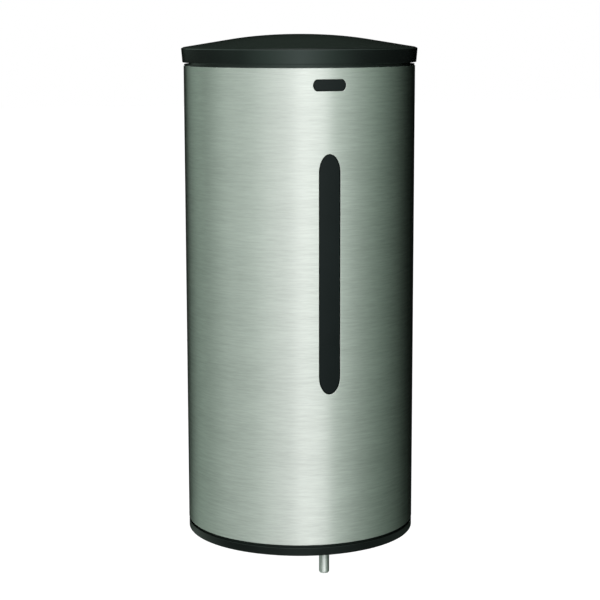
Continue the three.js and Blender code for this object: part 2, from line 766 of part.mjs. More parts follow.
// The cam lock, drawn along Z and laid along X: its face is flush in the steel, and its shoulder and nut
// hold it to the lug of the top frame
const lockGroup = new THREE.Group();
lockGroup.position.set(0, 0, lockZ);
lockGroup.rotation.set(Math.PI / 2, Math.PI / 2, 0);
body.add(lockGroup);
const lockFace = shellRadius - lockFaceInset;
const lockInnerEnd = camPlane + camThickness + slip;

function makeLockBody() {
  let lock = rod(lockBarrelRadius, lockInnerEnd, lockFace);
  lock = lock.add(rod(lockShoulderRadius, lockShoulderInner, lockShoulderInner + lockShoulderThickness));
  return lock.subtract(rod(lockPlugRadius + gap, lockInnerEnd - overrun, lockFace + overrun));
}
addPiece(lockGroup, 'lock_body', makeLockBody(), plainSteel);

function makeLockNut() {
  const high = lockLugInner - gap;
  const nut = rod(lockNutRadius, high - lockNutHeight, high, 0, 0, nutSides);
  return nut.subtract(rod(lockBarrelRadius + gap, 0, shellRadius));
}
addPiece(lockGroup, 'lock_nut', makeLockNut(), plainSteel);

function makeLockPlug() {
  const face = lockFace - gap;
  const camLow = camPlane - gap;
  const half = camSquare / 2;
  let plug = rod(lockPlugRadius, lockInnerEnd, face);
  plug = plug.add(block(-half, half, -half, half, camLow, face - keySlotDepth - overrun));
  return plug.subtract(block(-keySlotWidth / 2, keySlotWidth / 2, -keySlotLength / 2, keySlotLength / 2,
    face - keySlotDepth, face + overrun));
}
addPiece(lockGroup, 'lock_plug', makeLockPlug(), brass);

function makeLockCam() {
  const low = camPlane;
  const high = low + camThickness;
  const half = camSquare / 2 + gap;
  const arm = block(-camArmWidth / 2, camArmWidth / 2, 0, camReach - camArmWidth / 2, low, high);
  const tip = rod(camArmWidth / 2, low, high, 0, camReach - camArmWidth / 2);
  return rod(camHubRadius, low, high).add(arm).add(tip).subtract(block(-half, half, -half, half,
    low - overrun, high + overrun));
}
addPiece(lockGroup, 'lock_cam', makeLockCam(), plainSteel);

// The translucent reservoir with its filling mouth
const reservoirBottom = shelfHeight + gap;
function reservoirSolid(inset, low, high) {
  const tank = rod(reservoirRadius - inset, low, high, 0, 0, shellSegments);
  return tank.subtract(block(-shellRadius, shellRadius, reservoirBack - inset, shellRadius, low - overrun,
    high + overrun));
}
const mouthOutline = (inset) => roundedOutline(inset - mouthHalfWidth, mouthHalfWidth - inset,
  mouthFront + inset, mouthBack - inset, mouthCorner - inset);

function makeReservoir() {
  let tank = reservoirSolid(0, reservoirBottom, reservoirTop);
  tank = tank.add(prism(mouthOutline(0), reservoirTop - reservoirWall, deckBottom - gap));
  tank = tank.subtract(reservoirSolid(reservoirWall, reservoirBottom + reservoirWall,
    reservoirTop - reservoirWall));
  tank = tank.subtract(prism(mouthOutline(reservoirWall), reservoirTop - 2 * reservoirWall,
    deckBottom + overrun));
  return tank.subtract(rod(outletStemRadius + slip, reservoirBottom - overrun,
    reservoirBottom + overrun, 0, outletY));
}
addPiece(body, 'reservoir', makeReservoir(), clearPlastic);

// The outlet fitting in the reservoir's floor, with its gasket
const gasketLow = reservoirBottom + reservoirWall + gap;
const outletFlangeLow = gasketLow + gasketHeight + gap;
const stemLow = shelfBottom - outletStemDrop;
const barbLow = stemLow - barbLength;

function makeOutlet() {
  const barbRadius = tubeBore - gap;
  const flangeTop = outletFlangeLow + outletFlangeHeight;
  return turned([[barbBore, barbLow], [barbRadius, barbLow], [barbRadius, stemLow],
    [outletStemRadius, stemLow], [outletStemRadius, outletFlangeLow],
    [outletFlangeRadius, outletFlangeLow], [outletFlangeRadius, flangeTop], [barbBore, flangeTop]],
  roundSegments);
}
addPiece(body, 'outlet_fitting', makeOutlet(), whitePlastic).position.set(0, outletY, 0);

const gasket = rod(outletFlangeRadius, gasketLow, gasketLow + gasketHeight)
  .subtract(rod(outletStemRadius + gap, gasketLow - overrun, gasketLow + overrun));
addPiece(body, 'outlet_gasket', gasket, rubberFinish).position.set(0, outletY, 0);

// The battery box behind the reservoir, with four cells, two contact strips and the cover
const batteryGroup = new THREE.Group();
batteryGroup.position.set(0, boxFront + boxDepth / 2, deckBottom);
body.add(batteryGroup);
const boxHalfWidth = cellCount * cellPitch / 2 + boxWall;
const coverBoss = boxWall + 3 * gap;
const upperContact = -coverBoss - gap - contactThickness;
const cellTop = upperContact - gap;
const lowerContact = cellTop - cellLength - gap - contactThickness;
const boxLow = lowerContact - gap - boxWall;

function makeBatteryBox() {
  const innerHalf = boxHalfWidth - boxWall;
  let box = block(-boxHalfWidth, boxHalfWidth, -boxDepth / 2, boxDepth / 2, boxLow, -gap);
  box = box.subtract(block(-innerHalf, innerHalf, -cellPitch / 2, cellPitch / 2, boxLow + boxWall, overrun));
  const ribBack = panelFront - gap - boxFront - boxDepth / 2;
  for (const side of [-1, 1]) {
    const x = side * boxRibInset;
    box = box.add(block(x - boxRibWidth / 2, x + boxRibWidth / 2, boxDepth / 2 - boxWall / 2, ribBack,
      boxLow, -overrun));
  }
  const wireHole = rod(leadRadius + slip, boxLow - overrun, boxLow + overrun, -innerHalf + 2 * leadRadius, 0,
    smallSegments);
  return box.subtract(wireHole);
}
addPiece(batteryGroup, 'battery_box', makeBatteryBox(), blackPlastic);

function makeCell() {
  const half = cellLength / 2;
  const shoulder = half - cellNubHeight;
  return turned([[0, -half], [cellRadius, -half], [cellRadius, shoulder], [cellNubRadius, shoulder],
    [cellNubRadius, half], [0, half]], roundSegments);
}
for (let index = 0; index < cellCount; index += 1) {
  const cell = addPiece(batteryGroup, `battery_${index + 1}`, makeCell(), cellFinish);
  cell.position.set((index - (cellCount - 1) / 2) * cellPitch, 0, cellTop - cellLength / 2);
  cell.rotation.x = index % 2 ? Math.PI : 0;
}

const contactStrip = (low) => block(-boxHalfWidth + 2 * boxWall + 2 * leadRadius,
  boxHalfWidth - 2 * boxWall - 2 * leadRadius, -contactWidth / 2, contactWidth / 2, low,
  low + contactThickness);
addPiece(batteryGroup, 'battery_contact_upper', contactStrip(upperContact), brass);
addPiece(batteryGroup, 'battery_contact_lower', contactStrip(lowerContact), brass);

function makeBatteryCover() {
  const halfDepth = boxDepth / 2 - coverLip;
  const bossHalf = boxHalfWidth - boxWall - slip;
  const lid = block(-coverHalfWidth, coverHalfWidth, -halfDepth, halfDepth, 0, deckThickness - gap);
  return lid.add(block(-bossHalf, bossHalf, slip - cellPitch / 2, cellPitch / 2 - slip, -coverBoss, boxWall));
}
addPiece(batteryGroup, 'battery_cover', makeBatteryCover(), greyPlastic);

// The power switch under the lid: a housing below the deck and a knob that slides along X
const switchGroup = new THREE.Group();
switchGroup.position.set(switchX, switchY, deckBottom);
body.add(switchGroup);

function makeSwitchBody() {
  const housing = block(-switchLength / 2, switchLength / 2, -switchWidth / 2, switchWidth / 2,
    -gap - switchHeight, -gap);
  return housing.subtract(block(switchFloor - switchLength / 2, switchLength / 2 - switchFloor,
    -knobWidth / 2 - slip, knobWidth / 2 + slip, switchFloor - gap - switchHeight, overrun));
}
addPiece(switchGroup, 'switch_body', makeSwitchBody(), blackPlastic);

const knob = block(-knobLength / 2, knobLength / 2, -knobWidth / 2, knobWidth / 2,
  switchFloor - switchHeight, deckThickness + knobRise);
addPiece(switchGroup, 'switch_knob', knob, whitePlastic).position.x = -switchTravel / 2;

// The control board on the pegs of the back panel
const controlGroup = new THREE.Group();
controlGroup.position.set(controlX, controlY, controlZ);
body.add(controlGroup);
const boardFace = -boardThickness / 2;
const boardSlab = (width, depth, height) => block(-width / 2, width / 2, -depth / 2, depth / 2,
  -height / 2, height / 2);
addPiece(controlGroup, 'control_board', boardSlab(controlWidth, boardThickness, controlHeight), boardGreen);
const chip = addPiece(controlGroup, 'controller_chip', boardSlab(chipSize, chipHeight, chipSize),
  blackPlastic);
chip.position.y = boardFace - gap - chipHeight / 2;
const connectorY = boardFace - gap - connectorDepth / 2;
const connectorZ = controlHeight / 2 - connectorHeight;
for (const [name, z] of [['upper_connector', connectorZ], ['lower_connector', -connectorZ]]) {
  const connector = addPiece(controlGroup, name,
    boardSlab(connectorWidth, connectorDepth, connectorHeight), whitePlastic);
  connector.position.set(0, connectorY, z);
}

// The indicator light behind the oval window
const indicatorTop = deckBottom - gap;
addPiece(body, 'indicator_board', block(-indicatorBoardWidth / 2, indicatorBoardWidth / 2,
  indicatorBoardY - boardThickness, indicatorBoardY, indicatorTop - indicatorBoardHeight, indicatorTop),
boardGreen);
const ledBack = indicatorBoardY - boardThickness - gap;
const ledFront = Math.max(ledBack - ledLength, -linerInner);
addPiece(body, 'indicator_led', deepRod(ledRadius, ledFront, ledBack, 0, ovalCentre), clearPlastic);

// The black base cup that closes the steel from below
const boardLow = floorTop + sensorBoardHeight;
const stadium = (length, width) => slotOutline(width, length, width / 2);
const acrossPrism = (outline, low, high) => {
  const settings = { depth: high - low, bevelEnabled: false, curveSegments: smallSegments };
  return solid(new THREE.ExtrudeGeometry(outline, settings).rotateZ(Math.PI / 2)
    .translate(0, sensorY, low));
};

function makeBase() {
  const plugTop = shellBottom + basePlugHeight;
  const grooveLow = shellBottom - grooveHeight;
  let base = turned([[0, baseBottom], [baseRadius - baseEdge, baseBottom],
    [baseRadius, baseBottom + baseEdge], [baseRadius, grooveLow], [baseRadius - grooveDepth, grooveLow],
    [baseRadius - grooveDepth, shellBottom - gap], [linerRadius, shellBottom - gap],
    [linerRadius, plugTop], [linerInner, plugTop], [linerInner, floorTop], [0, floorTop]]);
  base = base.subtract(block(-shellRadius, shellRadius, axisToWall - baseBackGap, shellRadius + overrun,
    baseBottom - overrun, plugTop + overrun));
  base = base.subtract(block(-shellRadius, shellRadius, panelFront - gap, shellRadius,
    shellBottom - gap, plugTop + overrun));
  for (const [x, y] of [[leftPostX, leftPostY], [rightPostX, rightPostY]]) {
    base = base.subtract(rod(screwShankRadius + gap, baseBottom - overrun, floorTop + overrun, x, y,
      smallSegments));
    base = base.subtract(rod(screwHeadRadius + slip, baseBottom - overrun, baseBottom + counterboreDepth,
      x, y));
  }
  for (const side of [-1, 1]) {
    base = base.add(rod(sensorPostRadius, floorTop - gap, boardLow - gap,
      side * (sensorBoardWidth / 2 - sensorPostRadius), sensorY + sensorBoardDepth / 2 - sensorPostRadius,
      smallSegments));
  }
  base = base.subtract(rod(nozzleRadius + gap, baseBottom - overrun, floorTop + overrun, 0, -nozzleReach));
  const opening = stadium(sensorWindowLength, sensorWindowWidth);
  return base.subtract(acrossPrism(opening, baseBottom - overrun, floorTop + overrun));
}
addPiece(body, 'base_cover', makeBase(), blackPlastic);

// The dark lens over the sensor: it fills its opening and its flange lies on the base's floor
function makeSensorWindow() {
  const lens = acrossPrism(stadium(sensorWindowLength - 2 * gap, sensorWindowWidth - 2 * gap),
    baseBottom, floorTop + gap);
  const flange = acrossPrism(stadium(sensorWindowLength + 2 * sensorWindowFlange,
    sensorWindowWidth + 2 * sensorWindowFlange), floorTop + gap, floorTop + gap + sensorWindowFlange / 2);
  return lens.add(flange);
}
addPiece(body, 'sensor_window', makeSensorWindow(), smokedPlastic);

// The sensor board with its emitter and receiver looking down through the lens
addPiece(body, 'sensor_board', block(-sensorBoardWidth / 2, sensorBoardWidth / 2,
  sensorY - sensorBoardDepth / 2, sensorY + sensorBoardDepth / 2, boardLow, boardLow + boardThickness),
boardGreen);
function makeEye() {
  const dome = solid(new THREE.SphereGeometry(eyeRadius, smallSegments, smallSegments / 2)
    .rotateX(Math.PI / 2).translate(0, 0, eyeRadius - eyeLength));
  return dome.add(rod(eyeRadius, eyeRadius - eyeLength, 0, 0, 0, smallSegments));
}
addPiece(body, 'ir_emitter', makeEye(), smokedPlastic).position.set(-eyeSpacing / 2, sensorY, boardLow - gap);
addPiece(body, 'ir_receiver', makeEye(), blackPlastic).position.set(eyeSpacing / 2, sensorY, boardLow - gap);

// The steel nozzle: a straight tube with a flange on the base's floor and a barb for the pump tube
const nozzleTip = shellBottom - nozzleDrop;
const nozzleFlangeLow = floorTop + gap;
const nozzleBodyTop = nozzleFlangeLow + nozzleFlangeHeight + gap + nozzleNutHeight;
const nozzleBarbTop = nozzleBodyTop + barbLength;

function makeNozzle() {
  const barbRadius = tubeBore - gap;
  const flangeTop = nozzleFlangeLow + nozzleFlangeHeight;
  return turned([[nozzleBore, nozzleTip], [nozzleRadius - nozzleChamfer / 2, nozzleTip],
    [nozzleRadius, nozzleTip + nozzleChamfer], [nozzleRadius, nozzleFlangeLow],
    [nozzleFlangeRadius, nozzleFlangeLow], [nozzleFlangeRadius, flangeTop], [nozzleRadius, flangeTop],
    [nozzleRadius, nozzleBodyTop], [barbRadius, nozzleBodyTop], [barbRadius, nozzleBarbTop],
    [barbBore, nozzleBarbTop], [barbBore, nozzleBodyTop - nozzleBore],
    [nozzleBore, nozzleBodyTop - 2 * nozzleBore]], roundSegments);
}
addPiece(body, 'nozzle', makeNozzle(), brushedSteel).position.set(0, -nozzleReach, 0);

const nutLow = nozzleFlangeLow + nozzleFlangeHeight + gap;
const nozzleNut = rod(nozzleNutRadius, nutLow, nutLow + nozzleNutHeight, 0, 0, nutSides)
  .subtract(rod(nozzleRadius + gap, nutLow - overrun, nutLow + overrun));
addPiece(body, 'nozzle_nut', nozzleNut, plainSteel).position.set(0, -nozzleReach, 0);

// The pump: in its group X runs to the wall, Y runs up and Z runs to the right
const pump = new THREE.Group();
pump.position.set(0, pumpAxisY, pumpAxisZ);
pump.rotation.set(Math.PI / 2, Math.PI / 2, 0);
body.add(pump);

const centreDistance = gearModule * (pinionTeeth + wheelTeeth) / 2;
const idlerX = centreDistance * Math.cos(idlerDirection);
const idlerY = centreDistance * Math.sin(idlerDirection);
const motorX = idlerX + centreDistance * Math.cos(motorDirection);
const motorY = idlerY + centreDistance * Math.sin(motorDirection);

const chamberInner = tubeLoopRadius + tubeRadius + gap;
const chamberOuter = chamberInner + pumpWall;
const rollerHalf = tubeRadius + gap;
const discLow = rollerHalf + gap;
const discHigh = discLow + rotorDiscThickness;
const backWallLow = discHigh + gap;
const backWallHigh = backWallLow + pumpBackWall;
const coverHigh = -rollerHalf - 3 * gap;
const firstPlane = backWallHigh + gearSideGap;
const secondPlane = firstPlane + gearWidth + gearSideGap;
const gearboxFloor = secondPlane + gearWidth + gearSideGap;
const wheelOuter = gearModule * (wheelTeeth / 2 + wheelAddendumShare) + gearSideGap + gearboxWall;
const pinionOuter = gearModule * (pinionTeeth / 2 + pinionAddendumShare) + gearSideGap + 2 * gearboxWall;

// The outline of the gearbox round the three gear axes
const gearboxOutline = (inset) => beltOutline([
  [0, 0, wheelOuter - inset],
  [idlerX, idlerY, wheelOuter - inset],
  [motorX, motorY, pinionOuter - inset],
]);

// The U-shaped outline of the pump chamber
function chamberOutline(radius) {
  const outline = new THREE.Shape();
  outline.absarc(0, 0, radius, Math.PI, 2 * Math.PI);
  outline.lineTo(radius, pumpTop);
  outline.lineTo(-radius, pumpTop);
  return outline;
}

function makePumpHousing() {
  let housing = prism(chamberOutline(chamberOuter), coverHigh + gap, backWallHigh, roundSegments);
  const cavity = chamberOutline(chamberInner);
  housing = housing.subtract(prism(cavity, coverHigh - overrun, backWallLow, roundSegments));
  housing = housing.subtract(block(-chamberInner, chamberInner, pumpTop - overrun, pumpTop + overrun,
    coverHigh - overrun, backWallLow));
  housing = housing.subtract(block(-chamberOuter - overrun, -rollerRadius, pumpFrontTop,
    pumpTop + overrun, coverHigh - overrun, backWallLow));
  housing = housing.add(prism(gearboxOutline(0), backWallLow, backWallHigh));
  const footBack = panelFront - gap - pumpAxisY;
  housing = housing.add(block(motorX, footBack, motorY - armDrop + armRise, motorY + armRise,
    backWallLow, backWallHigh));
  housing = housing.add(block(footBack - footThickness, footBack, motorY - armDrop + armRise,
    motorY + armRise, backWallLow, backWallLow + footReach));
  housing = housing.add(rod(idlerPinRadius, backWallLow, gearboxFloor - gap, idlerX, idlerY, smallSegments));
  return housing.subtract(rod(rotorShaftRadius + gap, backWallLow - overrun, backWallHigh + overrun));
}
addPiece(pump, 'pump_housing', makePumpHousing(), greyPlastic);

addPiece(pump, 'pump_cover', prism(chamberOutline(chamberOuter), coverHigh - pumpCoverThickness, coverHigh,
  roundSegments), clearPlastic);

// The rotor with its shaft and three roller pins
const rollerOrbit = tubeLoopRadius - tubeRadius - rollerOverTube - rollerRadius;
const rollerAngle = (index) => Math.PI / 2 + 2 * Math.PI * index / rollerCount;

function makeRotor() {
  let rotor = rod(rotorDiscRadius, discLow, discHigh);
  rotor = rotor.add(rod(rotorShaftRadius, -rollerHalf, firstPlane + gearWidth));
  for (let index = 0; index < rollerCount; index += 1) {
    const angle = rollerAngle(index);
    rotor = rotor.add(rod(rollerPin, -rollerHalf - gap, discHigh, rollerOrbit * Math.cos(angle),
      rollerOrbit * Math.sin(angle), smallSegments));
  }
  return rotor;
}
addPiece(pump, 'pump_rotor', makeRotor(), whitePlastic);

const rollerBody = rod(rollerRadius, -rollerHalf, rollerHalf)
  .subtract(rod(rollerPin + gap, -rollerHalf - overrun, rollerHalf + overrun, 0, 0, smallSegments));
for (let index = 0; index < rollerCount; index += 1) {
  const roller = addPiece(pump, `pump_roller_${index + 1}`, rollerBody, greyPlastic);
  const angle = rollerAngle(index);
  roller.position.set(rollerOrbit * Math.cos(angle), rollerOrbit * Math.sin(angle), 0);
}

// A spur gear outline with involute flanks
function gearOutline(teeth, addendumShare, phase) {
  const pitch = gearModule * teeth / 2;
  const base = pitch * Math.cos(pressureAngle);
  const tip = pitch + addendumShare * gearModule;
  const root = pitch - dedendumShare * gearModule;
  const involute = (radius) => {
    const angle = Math.acos(Math.min(1, base / radius));
    return Math.tan(angle) - angle;
  };
  const halfAtPitch = (Math.PI * gearModule / 2 - gearBacklash) / 2 / pitch;
  const halfAt = (radius) => halfAtPitch + involute(pitch) - involute(Math.max(radius, base));
  const points = [];
  for (let tooth = 0; tooth < teeth; tooth += 1) {
    const centre = phase + 2 * Math.PI * tooth / teeth;
    const flank = [root, tip];
    const corners = [...flank.map((radius) => [radius, -halfAt(radius)]),
      ...flank.reverse().map((radius) => [radius, halfAt(radius)])];
    for (const [radius, angle] of corners) {
      points.push(new THREE.Vector2(radius * Math.cos(centre + angle), radius * Math.sin(centre + angle)));
    }
  }
  return new THREE.Shape(points);
}
const wheel = (low) => prism(gearOutline(wheelTeeth, wheelAddendumShare, 0), low, low + gearWidth);
const pinion = (low, high) => prism(gearOutline(pinionTeeth, pinionAddendumShare, Math.PI / pinionTeeth),
  low, high);

// The wheel on the rotor shaft, the idler between and the pinion on the motor shaft
const rotorWheel = wheel(firstPlane).subtract(rod(rotorShaftRadius + gap, 0, gearboxFloor));
addPiece(pump, 'rotor_gear', rotorWheel, whitePlastic);

const idlerBody = pinion(firstPlane, secondPlane).add(wheel(secondPlane))
  .subtract(rod(idlerPinRadius + gap, 0, gearboxFloor, 0, 0, smallSegments));
addPiece(pump, 'idler_gear', idlerBody, whitePlastic).position.set(idlerX, idlerY, 0);

const gearboxTop = gearboxFloor + gearboxWall;
const motorLow = gearboxTop + gap;
const motorPinion = pinion(secondPlane, secondPlane + gearWidth)
  .add(rod(motorShaftRadius, secondPlane, motorLow + motorShaftDepth - gap, 0, 0, smallSegments));
addPiece(pump, 'motor_pinion', motorPinion, brass).position.set(motorX, motorY, 0);

function makeGearboxCover() {
  const low = backWallHigh + gap;
  const cup = prism(gearboxOutline(0), low, gearboxTop);
  return cup.subtract(prism(gearboxOutline(gearboxWall), low - overrun, gearboxFloor))
    .subtract(rod(motorShaftRadius + slip, low, gearboxTop + overrun, motorX, motorY, smallSegments));
}
addPiece(pump, 'gearbox_cover', makeGearboxCover(), greyPlastic);

// The motor: a can with two flats
function makeMotor() {
  const flats = block(-motorRadius, motorRadius, -motorFlat, motorFlat, motorLow, motorLow + motorLength);
  return rod(motorRadius, motorLow, motorLow + motorLength).intersect(flats)
    .subtract(rod(motorShaftRadius + gap, motorLow - overrun, motorLow + motorShaftDepth, 0, 0,
      smallSegments));
}
addPiece(pump, 'motor', makeMotor(), plainSteel).position.set(motorX, motorY, 0);

// A flat ring or disc outline with few sides
function sectionOutline(radius, sides, bore = 0) {
  const corner = (index, reach) => new THREE.Vector2(reach * Math.cos(2 * Math.PI * index / sides),
    reach * Math.sin(2 * Math.PI * index / sides));
  const circle = (reach) => Array.from({ length: sides }, (_, index) => corner(index, reach));
  const outline = new THREE.Shape(circle(radius));
  if (bore) outline.holes.push(new THREE.Path(circle(bore)));
  return outline;
}

// The silicone tube: down from the outlet, round under the rotor, over the front and down to the nozzle
function makePumpTube() {
  const outletTop = stemLow - gap - pumpAxisZ;
  const nozzleX = -nozzleReach - pumpAxisY;
  const nozzleEnd = nozzleBodyTop + gap - pumpAxisZ;
  const bendRadius = (-tubeLoopRadius - nozzleX) / 2;
  const arcSteps = 12;
  const route = [new THREE.Vector3(tubeLoopRadius, outletTop, 0),
    new THREE.Vector3(tubeLoopRadius, outletTop / 2, 0)];
  for (let step = 0; step <= arcSteps; step += 1) {
    const angle = -Math.PI * step / arcSteps;
    route.push(new THREE.Vector3(tubeLoopRadius * Math.cos(angle), tubeLoopRadius * Math.sin(angle), 0));
  }
  for (let step = 0; step <= arcSteps; step += 1) {
    const angle = Math.PI * step / arcSteps;
    route.push(new THREE.Vector3(nozzleX + bendRadius + bendRadius * Math.cos(angle),
      tubeRise + bendRadius * Math.sin(angle), 0));
  }
  route.push(new THREE.Vector3(nozzleX, nozzleEnd / 2, 0), new THREE.Vector3(nozzleX, nozzleEnd, 0));
  const path = new THREE.CatmullRomCurve3(route);
  return solid(new THREE.ExtrudeGeometry(sectionOutline(tubeRadius, tubeSides, tubeBore),
    { steps: tubeSteps, extrudePath: path }));
}
addPiece(pump, 'pump_tube', makePumpTube(), siliconeFinish);

// Routes of the leads: x as shares of the shell's inner radius, z of its half height, and y from the
// reservoir's back, of the room in front of it or of the room behind it
const indicatorRouteShares = [
  [-0.414, -0.831, 0.831],
  [-0.759, -0.493, 0.788],
  [-0.81, -0.099, 0.78],
  [-0.81, 0.257, 0.627],
  [-0.759, 0.404, 0.0],
  [-0.759, 0.441, -0.39],
];
const switchRouteShares = [
  [-0.707, 0.551, 0.763],
  [-0.69, 0.588, 0.169],
  [-0.672, 0.551, -0.373],
];
const batteryRouteShares = [
  [-0.534, 0.404, 0.305],
  [-0.586, 0.441, 0.0],
  [-0.586, 0.478, -0.39],
];
const motorRouteShares = [
  [0.759, -0.035, -0.805],
  [0.793, 0.0, -0.839],
  [0.69, 0.404, -0.915],
  [0.207, 0.588, -0.949],
  [-0.207, 0.515, -0.992],
];
const sensorRouteShares = [
  [-0.224, -0.549, -0.89],
  [-0.31, -0.239, -0.898],
  [-0.414, 0.11, -0.975],
];
const routePoint = ([x, y, z]) => {
  const room = y < 0 ? shellInner + reservoirBack : panelFront - reservoirBack;
  return [x * shellInner, reservoirBack + y * room, z * shellTop];
};

// A lead that follows its route between two pieces
function makeLead(route, steps) {
  const path = new THREE.CatmullRomCurve3(route.map((point) => new THREE.Vector3(...point)));
  return solid(new THREE.ExtrudeGeometry(sectionOutline(leadRadius, leadSides),
    { steps, extrudePath: path }));
}

// Each lead ends straight at its place on one of the two connectors
const plugX = (index) => controlX + (index - 1) * leadPitch;
const plugZ = connectorZ + connectorHeight / 2 + gap;
const upperPlug = (index) => [leadRadius + connectorHeight, 0]
  .map((rise) => [plugX(index), controlY + connectorY, controlZ + plugZ + rise]);
const lowerPlug = (index) => upperPlug(index).map(([x, y, z]) => [x, y, 2 * controlZ - z]);

const indicatorLead = [
  [2 * leadRadius - indicatorBoardWidth / 2, indicatorBoardY + leadRadius + gap,
    indicatorTop - indicatorBoardHeight / 2],
  ...indicatorRouteShares.map(routePoint), ...upperPlug(0),
];
addPiece(body, 'indicator_lead', makeLead(indicatorLead, 28), [0x2f5f9a, 0.6, 0]);

const switchLead = [
  [switchX, switchY, deckBottom - switchHeight - 2 * gap], ...switchRouteShares.map(routePoint),
  ...upperPlug(1),
];
addPiece(body, 'switch_lead', makeLead(switchLead, 16), [0x22262a, 0.6, 0]);

const batteryLead = [
  [boxWall + 2 * leadRadius - boxHalfWidth, boxFront + boxDepth / 2, deckBottom + boxLow - gap],
  ...batteryRouteShares.map(routePoint), ...upperPlug(2),
];
addPiece(body, 'battery_lead', makeLead(batteryLead, 14), [0xb03028, 0.6, 0]);

const motorLead = [
  [motorLow + motorLength + gap, pumpAxisY + motorX, pumpAxisZ + motorY - motorFlat / 2],
  ...motorRouteShares.map(routePoint), ...lowerPlug(2),
];
addPiece(body, 'motor_lead', makeLead(motorLead, 22), [0x22262a, 0.6, 0]);

const sensorLead = [
  [-eyeSpacing, sensorY, boardLow + boardThickness + gap],
  [-eyeSpacing, sensorY, boardLow + boardThickness + 2 * leadRadius + gap],
  ...sensorRouteShares.map(routePoint), ...lowerPlug(0),
];
addPiece(body, 'sensor_lead', makeLead(sensorLead, 18), [0x2f5f9a, 0.6, 0]);

export default dispenser;
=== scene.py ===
import json
import math

import bmesh
import bpy
from mathutils import Matrix, Vector
from mathutils.geometry import delaunay_2d_cdt

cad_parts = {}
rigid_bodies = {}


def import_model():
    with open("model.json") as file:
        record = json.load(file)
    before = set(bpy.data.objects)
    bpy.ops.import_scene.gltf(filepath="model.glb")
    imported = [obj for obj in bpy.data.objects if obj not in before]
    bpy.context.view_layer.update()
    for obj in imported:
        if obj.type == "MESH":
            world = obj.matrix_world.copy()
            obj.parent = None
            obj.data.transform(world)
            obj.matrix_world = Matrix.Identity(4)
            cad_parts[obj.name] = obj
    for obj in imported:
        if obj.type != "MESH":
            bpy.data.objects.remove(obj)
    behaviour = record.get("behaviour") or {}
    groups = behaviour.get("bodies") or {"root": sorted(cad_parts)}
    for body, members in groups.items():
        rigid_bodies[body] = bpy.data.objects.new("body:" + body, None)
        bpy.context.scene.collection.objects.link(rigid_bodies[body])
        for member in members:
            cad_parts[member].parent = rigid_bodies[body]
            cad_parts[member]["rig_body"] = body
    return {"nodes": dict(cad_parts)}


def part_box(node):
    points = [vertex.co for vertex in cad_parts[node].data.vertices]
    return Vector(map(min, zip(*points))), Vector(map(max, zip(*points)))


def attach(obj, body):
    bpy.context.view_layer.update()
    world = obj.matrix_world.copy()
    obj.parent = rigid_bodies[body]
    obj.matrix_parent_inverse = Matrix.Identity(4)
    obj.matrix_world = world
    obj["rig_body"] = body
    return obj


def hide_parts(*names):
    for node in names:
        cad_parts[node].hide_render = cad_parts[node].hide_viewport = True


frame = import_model()
bpy.context.view_layer.update()

# Sizes in millimetres from the axis of the cylinder; the frame is in metres from the wall
MM = 0.001
X, Y, Z = range(3)
SHELL_R = round(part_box("steel_shell")[1][X] / MM, 2)
AXIS_TO_WALL = round(-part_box("steel_shell")[0][Y] / MM - SHELL_R, 2)


def corners(node):
    """A CAD node's lowest and highest corner, in millimetres from the axis."""
    shift = (0, AXIS_TO_WALL, 0)
    return [tuple(round(corner[k] / MM + shift[k], 2) for k in range(3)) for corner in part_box(node)]


def middle_of(node, axis):
    low, high = corners(node)
    return round((low[axis] + high[axis]) / 2, 2)


def opening(node, flange, cap, upright):
    """Across, along, end height and middle of the opening that a window with this flange fills."""
    low, high = corners(node)
    width, height = (high[k] - low[k] - 2 * flange for k in (X, Z))
    return (width, height, cap, middle_of(node, Z)) if upright else (height, width, cap, middle_of(node, Z))


# The steel wrap: its flat back flanges end this far from the middle
SHELL_BACK, HALF_HEIGHT = corners("steel_shell")[1][1:]
SHELL_WALL, SHELL_EDGE, BEND_R, FLANGE_END = 1.0, 0.2, 1.4, 31.74

# The openings in it, and the slip between pieces that fit into each other
SIGHT_FLANGE, SLOT_CAP = 3.0, 9.0
SLOT = opening("sight_window", SIGHT_FLANGE, SLOT_CAP, True)
OVAL_FLANGE, OVAL_CAP = 2.0, 2.2
OVAL = opening("indicator_window", OVAL_FLANGE, OVAL_CAP, False)
LOCK_Z = middle_of("lock_body", Z)
SLIP = 0.3

# How far cutters reach past everything and past a face, and what counts as one point
REACH, OVERRUN, MERGE = 80.0, 5.0, 0.002


# Mesh tools

def place(points):
    """Millimetres from the axis to metres in the frame."""
    return [(x * MM, (y - AXIS_TO_WALL) * MM, z * MM) for x, y, z in points]


def add_object(name, mesh, material, body, nodes):
    """A piece that rides on a body and stands for the named CAD nodes."""
    obj = bpy.data.objects.new(name, mesh)
    bpy.context.scene.collection.objects.link(obj)
    mesh.materials.clear()
    mesh.materials.append(material)
    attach(obj, body)
    if nodes:
        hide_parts(*nodes)
    return obj


def smooth_sharp(mesh, angle):
    """Smooth shading, apart from edges that turn by more than the angle in degrees."""
    mesh.shade_smooth()
    mesh.set_sharp_from_angle(angle=math.radians(angle))


def weigh_normals(obj):
    """Keeps large faces flat to the eye beside small ones."""
    modifier = obj.modifiers.new("even_normals", "WEIGHTED_NORMAL")
    modifier.keep_sharp = True


def add_smooth(name, mesh, angle, material, body, node):
    """A turned or carved piece with smooth surfaces between its sharp edges."""
    smooth_sharp(mesh, angle)
    weigh_normals(add_object(name, mesh, material, body, [node]))


def round_edges(obj, width, angle):
    """A small round on every edge that turns by more than the angle in degrees."""
    modifier = obj.modifiers.new("round_edges", "BEVEL")
    modifier.width = width * MM
    modifier.segments = 2
    modifier.limit_method = "ANGLE"
    modifier.angle_limit = math.radians(angle)
    modifier.harden_normals = False


